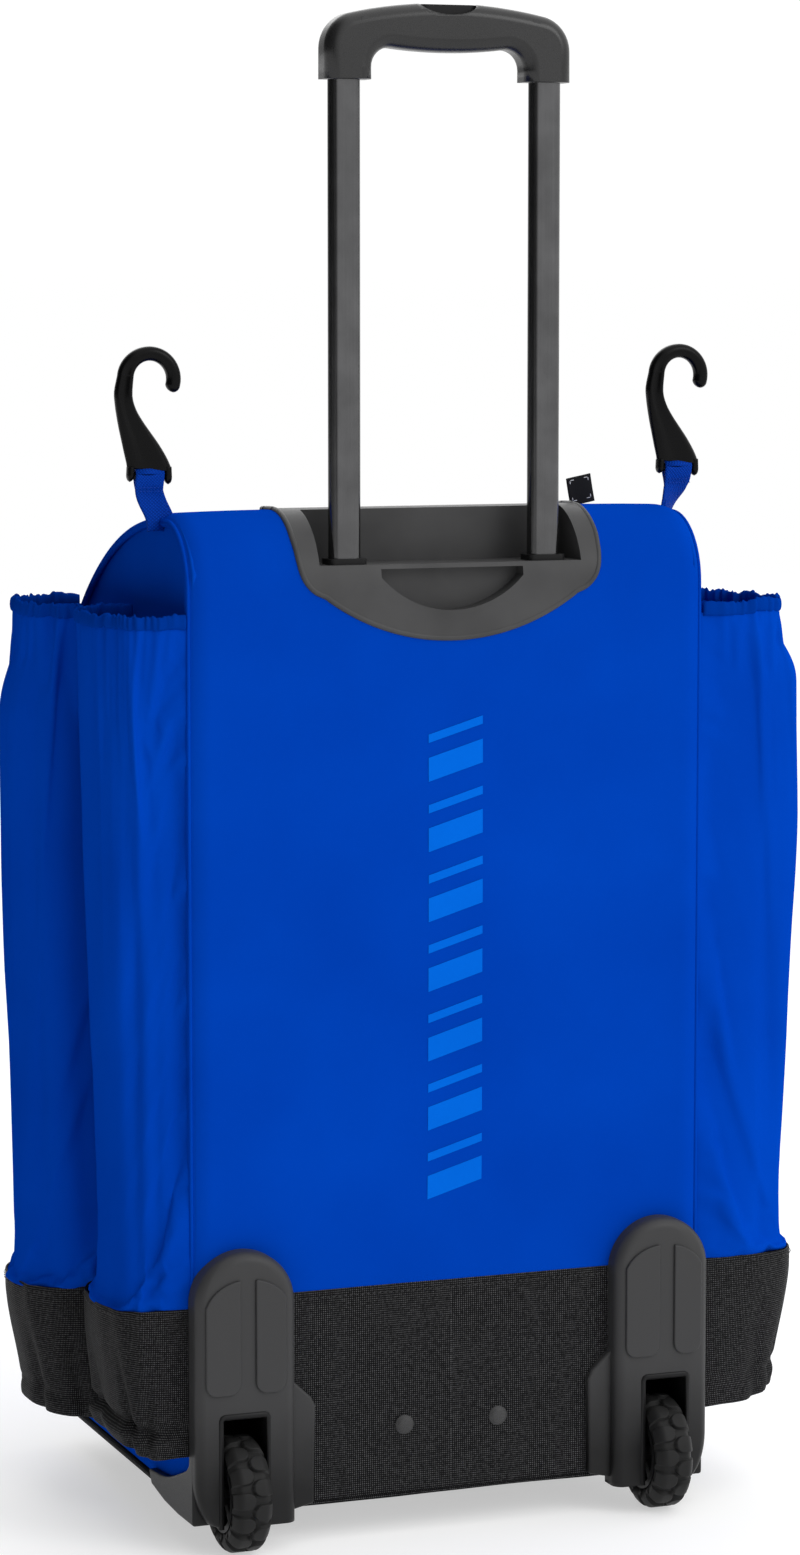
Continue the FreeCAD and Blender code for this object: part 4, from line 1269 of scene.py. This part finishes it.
def build_cup_trim():
    """Rounded rim along the cup's flange, on the bag's own outline."""
    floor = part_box("tube_bushes")[1].z - 4 * MM
    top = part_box("handle_cup")[1].z
    half, low_x, low_z, sag = 110 * MM, 92 * MM, 20.7 * MM, 51 * MM
    chord = sag - low_z
    radius = (low_x ** 2 + chord ** 2) / (2 * chord)
    swing = math.degrees(math.asin(low_x / radius))
    right = arc_points(0, floor - sag + radius, radius, -90, -90 + swing, 26)
    right += [(99 * MM, floor - 17.6 * MM), (105 * MM, floor - 12 * MM), (108.4 * MM, floor - 5 * MM),
              (half, floor + 4 * MM), (half + 0.6 * MM, floor + 12 * MM)]
    samples = [(x, z - LOW) for x, z in right]
    last = samples[-1][1]
    end = RUN_TOP + 22 * MM
    samples += [(half + 1.2 * MM, last + (end - last) * k / 10) for k in range(1, 11)]
    samples = [(-x, run) for x, run in reversed(samples[1:])] + samples
    points = []
    for x, run in samples:
        y, z, *_ = on_outline(run, 2.1 * MM)
        points.append(Vector((x, y, min(z, top + 1 * MM))))
    rings = tube_rings(smooth_path(points, 3), 2.1 * MM, 12, hint=Vector((0, 1, 0)))
    ring_sweep("cup_rim", rings, plastic, "bag")


RIVET_PROFILE = ((0.5, 6.9), (-0.6, 7.0), (-1.4, 6.6), (-1.7, 5.8), (-2.5, 5.2), (-3.0, 3.6), (-3.2, 0.3))


def build_rivets():
    """Domed rivet heads that hold the lower bracket through the woven band."""
    low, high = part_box("bracket_rivets")
    for side, word in SIDES:
        centre = Vector((side * 35 * MM, REAR - 0.8 * MM, (low.z + high.z) / 2))
        profile = [(along * MM, radius * MM) for along, radius in RIVET_PROFILE]
        stands = ("bracket_rivets",) if side > 0 else ()
        lathe("rivet_" + word, profile, centre, "y", plastic, "bag", 32, stands_for=stands,
              slot="moulded_plastic")


# ================= front and underside =================
def build_front():
    run_low = run_at(lambda s: s[0] > DEPTH - 0.1 * MM and s[1] <= DOOR_LOW)
    shell_sheet("door_panel", RUN_DOOR + 2 * MM, run_low, DOOR_HALF, 150, 90, panel_cloth, "door",
                swell=5 * MM, roll=2.5 * MM, stands_for=("front_door",), slot="panel_fabric")
    run_end = RUN[-1] - 1 * MM
    for side, word in SIDES:
        def place(row, column, side=side):
            run = RUN_DOOR - 4 * MM + (run_low + 4 * MM - RUN_DOOR) * row
            x = DOOR_HALF + (HALF - DOOR_HALF) * column
            over = max(0.0, x - (HALF - 15 * MM)) / (15 * MM)
            y, z, *_ = on_outline(run, -6 * MM * over * over + ripple(x, run, 0.8 * MM))
            return side * x, y, z
        sheet_piece("front_frame_cloth_" + word, 140, 12, place, panel_cloth, "bag", 3.5 * MM,
                    stands_for=("front_frame_" + word,), slot="panel_fabric")
    shell_sheet("front_sill_cloth", run_low, run_end, HALF, 24, 90, twill, "bag",
                swell=0, roll=5 * MM, thick=3 * MM, stands_for=("front_sill",), slot="woven_base")

    def floor_place(row, column):
        y = REAR + 0.5 * MM + (DEPTH - SILL_R - 0.5 * MM) * row
        x = (GUSSET - 1 * MM) * (2 * column - 1)
        return x, y, LOW + ripple(x, y, 1.0 * MM) * (1 - (2 * column - 1) ** 4)
    clear = 121 * MM
    sheet_piece("base_cloth", 70, 80, floor_place, twill, "bag", 3 * MM,
                keep=lambda c: not (abs(c.x) > clear and c.y < REAR + 50 * MM), stands_for=("base_panel",),
                slot="woven_base")
    build_zip(run_low)
    build_pocket()


def build_zip(run_low):
    """Coil zipper round the door: tape on both sides, and teeth shared by the door and the bag."""
    route = []
    half = DOOR_HALF + 0.5 * MM
    step = 2.3 * MM
    up = int((run_low - RUN_DOOR) / step)
    route += [(-half, run_low - k * step, "x") for k in range(up)]
    over = int(2 * half / step)
    route += [(-half + k * step, RUN_DOOR, "y") for k in range(over)]
    route += [(half, RUN_DOOR + k * step, "x") for k in range(up)]
    for part, body, phase in (("bag", "bag", 0), ("door", "door", 1)):
        verts, faces = [], []
        for number, (x, run, across) in enumerate(route):
            if number % 2 != phase:
                continue
            y, z, ny, nz = on_outline(run, 1.9 * MM)
            centre = Vector((x, y, z))
            normal = Vector((0, ny, nz))
            side = Vector((1, 0, 0)) if across == "x" else Vector((0, -nz, ny))
            outward = -1 if (across == "x" and x > 0) or across == "y" else 1
            away = (1 if part == "door" else -1) * outward
            start, end = centre - side * (away * 0.8 * MM), centre + side * (away * 2.6 * MM)
            add_stitch(verts, faces, start, end, normal, 0.95 * MM)
        piece("zip_teeth_" + part, verts, faces, dark_plastic, body, slot="zipper_tape")
    tape_rows = 130
    for side, word in SIDES:
        for part, body, x0, x1 in (("bag", "bag", 0.6, 9.0), ("door", "door", -9.0, -0.6)):
            def place(row, column, side=side, x0=x0, x1=x1):
                run = RUN_DOOR - 1 * MM + (run_low - RUN_DOOR) * row
                x = half + (x0 + (x1 - x0) * column) * MM
                y, z, *_ = on_outline(run, 1.3 * MM)
                return side * x, y, z
            sheet_piece("zip_tape_" + part + "_" + word, tape_rows, 4, place, zip_tape, body, 0.8 * MM)
    for part, body, r0, r1 in (("bag", "bag", -9.0, -0.6), ("door", "door", 0.6, 9.0)):
        def across_place(row, column, r0=r0, r1=r1):
            y, z, *_ = on_outline(RUN_DOOR + (r0 + (r1 - r0) * row) * MM, 1.3 * MM)
            return (half + 8 * MM) * (2 * column - 1) if part == "bag" else half * (2 * column - 1), y, z
        obj = sheet_piece("zip_tape_" + part + "_top", 4, 60, across_place, zip_tape, body, 0.8 * MM)
        if part == "bag":
            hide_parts("zip_track")


def build_pocket():
    """Puffed pocket on the door, with a piped border and a gathered ripple under its top edge."""
    low, high = POCKET
    middle_x, half_x = (low.x + high.x) / 2, (high.x - low.x) / 2
    middle_z, half_z = (low.z + high.z) / 2, (high.z - low.z) / 2
    base = FRONT - POCKET_FLAT

    def place(row, column):
        u, v = 2 * column - 1, 2 * row - 1
        u = math.copysign(abs(u) ** 0.8, u)
        v = math.copysign(abs(v) ** 0.8, v)
        x, z = middle_x + half_x * u, middle_z + half_z * v
        edge = min(half_x - abs(x - middle_x), half_z - abs(z - middle_z))
        rise = smooth(0, 17 * MM, edge) ** 0.7
        puff = 6 * MM * (1 - u * u) * (1 - v ** 4)
        wave = 2.6 * MM * noise.noise(Vector((x * 15, z * 15, 2.0)))
        wave += 1.2 * MM * noise.noise(Vector((x * 40, z * 34, 5.0)))
        gather = 1.6 * MM * math.sin(x * 260) * bump(high.z - 6 * MM, 14 * MM, z)
        gather *= noise.noise(Vector((x * 30, 1, 1)))
        y = base + (17 * MM + puff + wave + gather) * rise
        corner = max(0.0, abs(u) + abs(v) - 1.82) * 30 * MM
        return x - math.copysign(corner, u), y, z - math.copysign(corner, v)
    pocket = sheet_piece("pocket_cloth", 100, 90, place, panel_cloth, "door", 0,
                         stands_for=("front_pocket",), slot="panel_fabric")
    border = []
    for x, z in rounded_rectangle(half_x, half_z, 12 * MM, 10):
        border.append(Vector((middle_x + x, base + 1.6 * MM, middle_z + z)))
    rings = tube_rings(border, 2.2 * MM, 8, hint=Vector((0, 1, 0)))
    ring_sweep("pocket_piping", rings, binding, "door", closed=True, caps=False, slot="elastic_binding")


def rounded_rectangle(half_x, half_z, r, count):
    points = []
    for cx, cz, start in ((1, 1, 0), (-1, 1, 90), (-1, -1, 180), (1, -1, 270)):
        points += arc_points(cx * (half_x - r), cz * (half_z - r), r, start, start + 90, count)
    dense = []
    for (x0, z0), (x1, z1) in zip(points, points[1:] + points[:1]):
        steps = max(1, int(math.hypot(x1 - x0, z1 - z0) / (6 * MM)))
        dense += [(x0 + (x1 - x0) * k / steps, z0 + (z1 - z0) * k / steps) for k in range(steps)]
    return dense


def build_label():
    """Plain woven tab, folded at its free end, with pale corner stitches and no lettering."""
    low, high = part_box("tab_label")
    lean = math.radians(12)
    half_x, tall = 9 * MM, 20 * MM
    foot = Vector((high.x - half_x - 1 * MM, (low.y + high.y) / 2, low.z + 1.5 * MM))

    def on_tab(u, v, out):
        along = Vector((-math.sin(lean), 0, math.cos(lean)))
        across = Vector((math.cos(lean), 0, math.sin(lean)))
        curl = 1.5 * MM * v * v + 0.8 * MM * math.sin(u * 2)
        return foot + across * (half_x * u) + along * (tall * v) + Vector((0, out - curl, 0))
    sheet_piece("tab_cloth", 20, 12, lambda row, column: on_tab(2 * column - 1, row, 0), lining, "bag",
                1.2 * MM, stands_for=("tab_label",), slot="label_weave")
    verts, faces = [], []
    for cu in (-1, 1):
        for cv, toward in ((0.16, 1), (0.9, -1)):
            corner = on_tab(cu * 0.74, cv, -1.0 * MM)
            for end in (on_tab(cu * 0.36, cv, -1.0 * MM), on_tab(cu * 0.74, cv + toward * 0.14, -1.0 * MM)):
                add_stitch(verts, faces, corner, end, Vector((0, -1, 0)), 0.4 * MM)
    piece("tab_marks", verts, faces, pale_thread, "bag")


FOOT_PROFILE = ((0, -3), (0.8, -1), (2.5, 0), (8, 0.8), (9, -0.4), (10.5, -0.4), (11.5, 1.2),
                (20, 2.4), (26, 3.4), (28.5, 4), (29.5, 3.8))


def build_feet():
    low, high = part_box("front_feet")
    for side, word in SIDES:
        centre = Vector((side * 110 * MM, (low.y + high.y) / 2, 0))
        r = 15 * MM
        profile = [(0, 0.2 * MM)] + [(height * MM, r + out * MM) for height, out in FOOT_PROFILE]
        stands = ("front_feet",) if side > 0 else ()
        lathe("foot_" + word, profile, centre, "z", rubber, "bag", stands_for=stands, slot="foot_rubber")


# ================= stage, light, camera =================
def build_stage():
    floor = bpy.data.meshes.new("floor")
    size = 9.0
    corners = [(-size, -size, 0), (size, -size, 0), (size, size, 0), (-size, size, 0)]
    floor.from_pydata(corners, [], [(0, 1, 2, 3)])
    obj = bpy.data.objects.new("floor", floor)
    bpy.context.scene.collection.objects.link(obj)
    mat, tree, shader = new_material("pale_floor")
    shader.inputs["Base Color"].default_value = (0.55, 0.55, 0.55, 1)
    shader.inputs["Roughness"].default_value = 0.9
    shader.inputs["Specular IOR Level"].default_value = 0.0
    shader.inputs["Emission Color"].default_value = (1, 1, 1, 1)
    shader.inputs["Emission Strength"].default_value = 0.5
    floor.materials.append(mat)
    world = bpy.data.worlds.new("studio")
    bpy.context.scene.world = world
    world.use_nodes = True
    tree = world.node_tree
    split = add(tree, "ShaderNodeSeparateXYZ")
    tree.links.new(add(tree, "ShaderNodeTexCoord").outputs["Generated"], split.inputs[0])
    level = math_node(tree, "MULTIPLY_ADD", split.outputs["X"], 0.5)
    level.node.inputs[2].default_value = 0.5
    shade = ramp(tree, level, ((0.02, 0.03), (0.25, 0.12), (0.40, 0.75), (0.46, 1.0)))
    above = math_node(tree, "MULTIPLY_ADD", math_node(tree, "MAXIMUM", split.outputs["Z"], 0.0), 0.7)
    above.node.inputs[2].default_value = 1.0
    tree.links.new(shade, tree.nodes["Background"].inputs["Color"])
    tree.links.new(above, tree.nodes["Background"].inputs["Strength"])


def area_light(name, place, target, size, power):
    data = bpy.data.lights.new(name, "AREA")
    data.shape = "RECTANGLE"
    data.size, data.size_y = size
    data.energy = power
    obj = bpy.data.objects.new(name, data)
    obj.location = place
    obj.rotation_mode = "QUATERNION"
    obj.rotation_quaternion = (Vector(target) - Vector(place)).to_track_quat("-Z", "Y")
    bpy.context.scene.collection.objects.link(obj)


def build_lights():
    area_light("key", (1.6, -2.4, 2.1), (0, 0, 0.5), (1.4, 1.4), 20)
    area_light("front", (0.6, 2.8, 2.2), (0, 0, 0.5), (2.0, 2.0), 14)


def build_camera():
    """Behind the bag and a little to its left, slightly above its middle, looking down a little."""
    azimuth, tilt = 0.362479, 0.112192
    data = bpy.data.cameras.new("camera")
    data.lens, data.sensor_width = 100.07, 36.0
    obj = bpy.data.objects.new("camera", data)
    obj.location = (-1.0797, REAR - 2.7474, 0.861)
    look = Vector((math.sin(azimuth) * math.cos(tilt), math.cos(azimuth) * math.cos(tilt), -math.sin(tilt)))
    obj.rotation_mode = "QUATERNION"
    obj.rotation_quaternion = look.to_track_quat("-Z", "Y")
    bpy.context.scene.collection.objects.link(obj)
    bpy.context.scene.camera = obj
    bpy.context.scene.view_settings.view_transform = "Standard"


# ================= materials of the CAD pieces that stay =================
def paint(material, *nodes):
    for name in nodes:
        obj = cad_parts[name]
        if not obj.material_slots:
            obj.data.materials.append(material)
        for holder in obj.material_slots:
            holder.material = material


def paint_frame():
    paint(plastic, "handle_cup")
    paint(dark_plastic, "tube_bushes", "slider_block_left", "slider_block_right", "back_board")
    paint(dark_plastic, "wheel_hub_left", "wheel_hub_right")
    paint(tube_metal, "outer_tube_left", "outer_tube_right", "inner_tube_left", "inner_tube_right")
    paint(dark_plastic, "release_button")
    paint(steel, "push_bridge", "push_rods", "lock_pin_left", "lock_pin_right")
    paint(lacquer, "axle_left", "axle_right", "grip_screws", "housing_rivets", "lower_bracket")
    paint(lacquer, "zip_slider_left", "zip_slider_right", "zip_pull_left", "zip_pull_right")
    for name in ("handle_cup", "release_button", "wheel_hub_left", "wheel_hub_right"):
        round_rims(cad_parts[name], 0.9 * MM, 2, 40)


build_stage()
build_lights()
build_camera()
paint_frame()
build_rear_panel()
build_print()
build_gussets()
build_sleeves()
build_hooks()
build_housings()
build_grip()
build_cup_trim()
build_rivets()
build_front()
build_label()
build_feet()
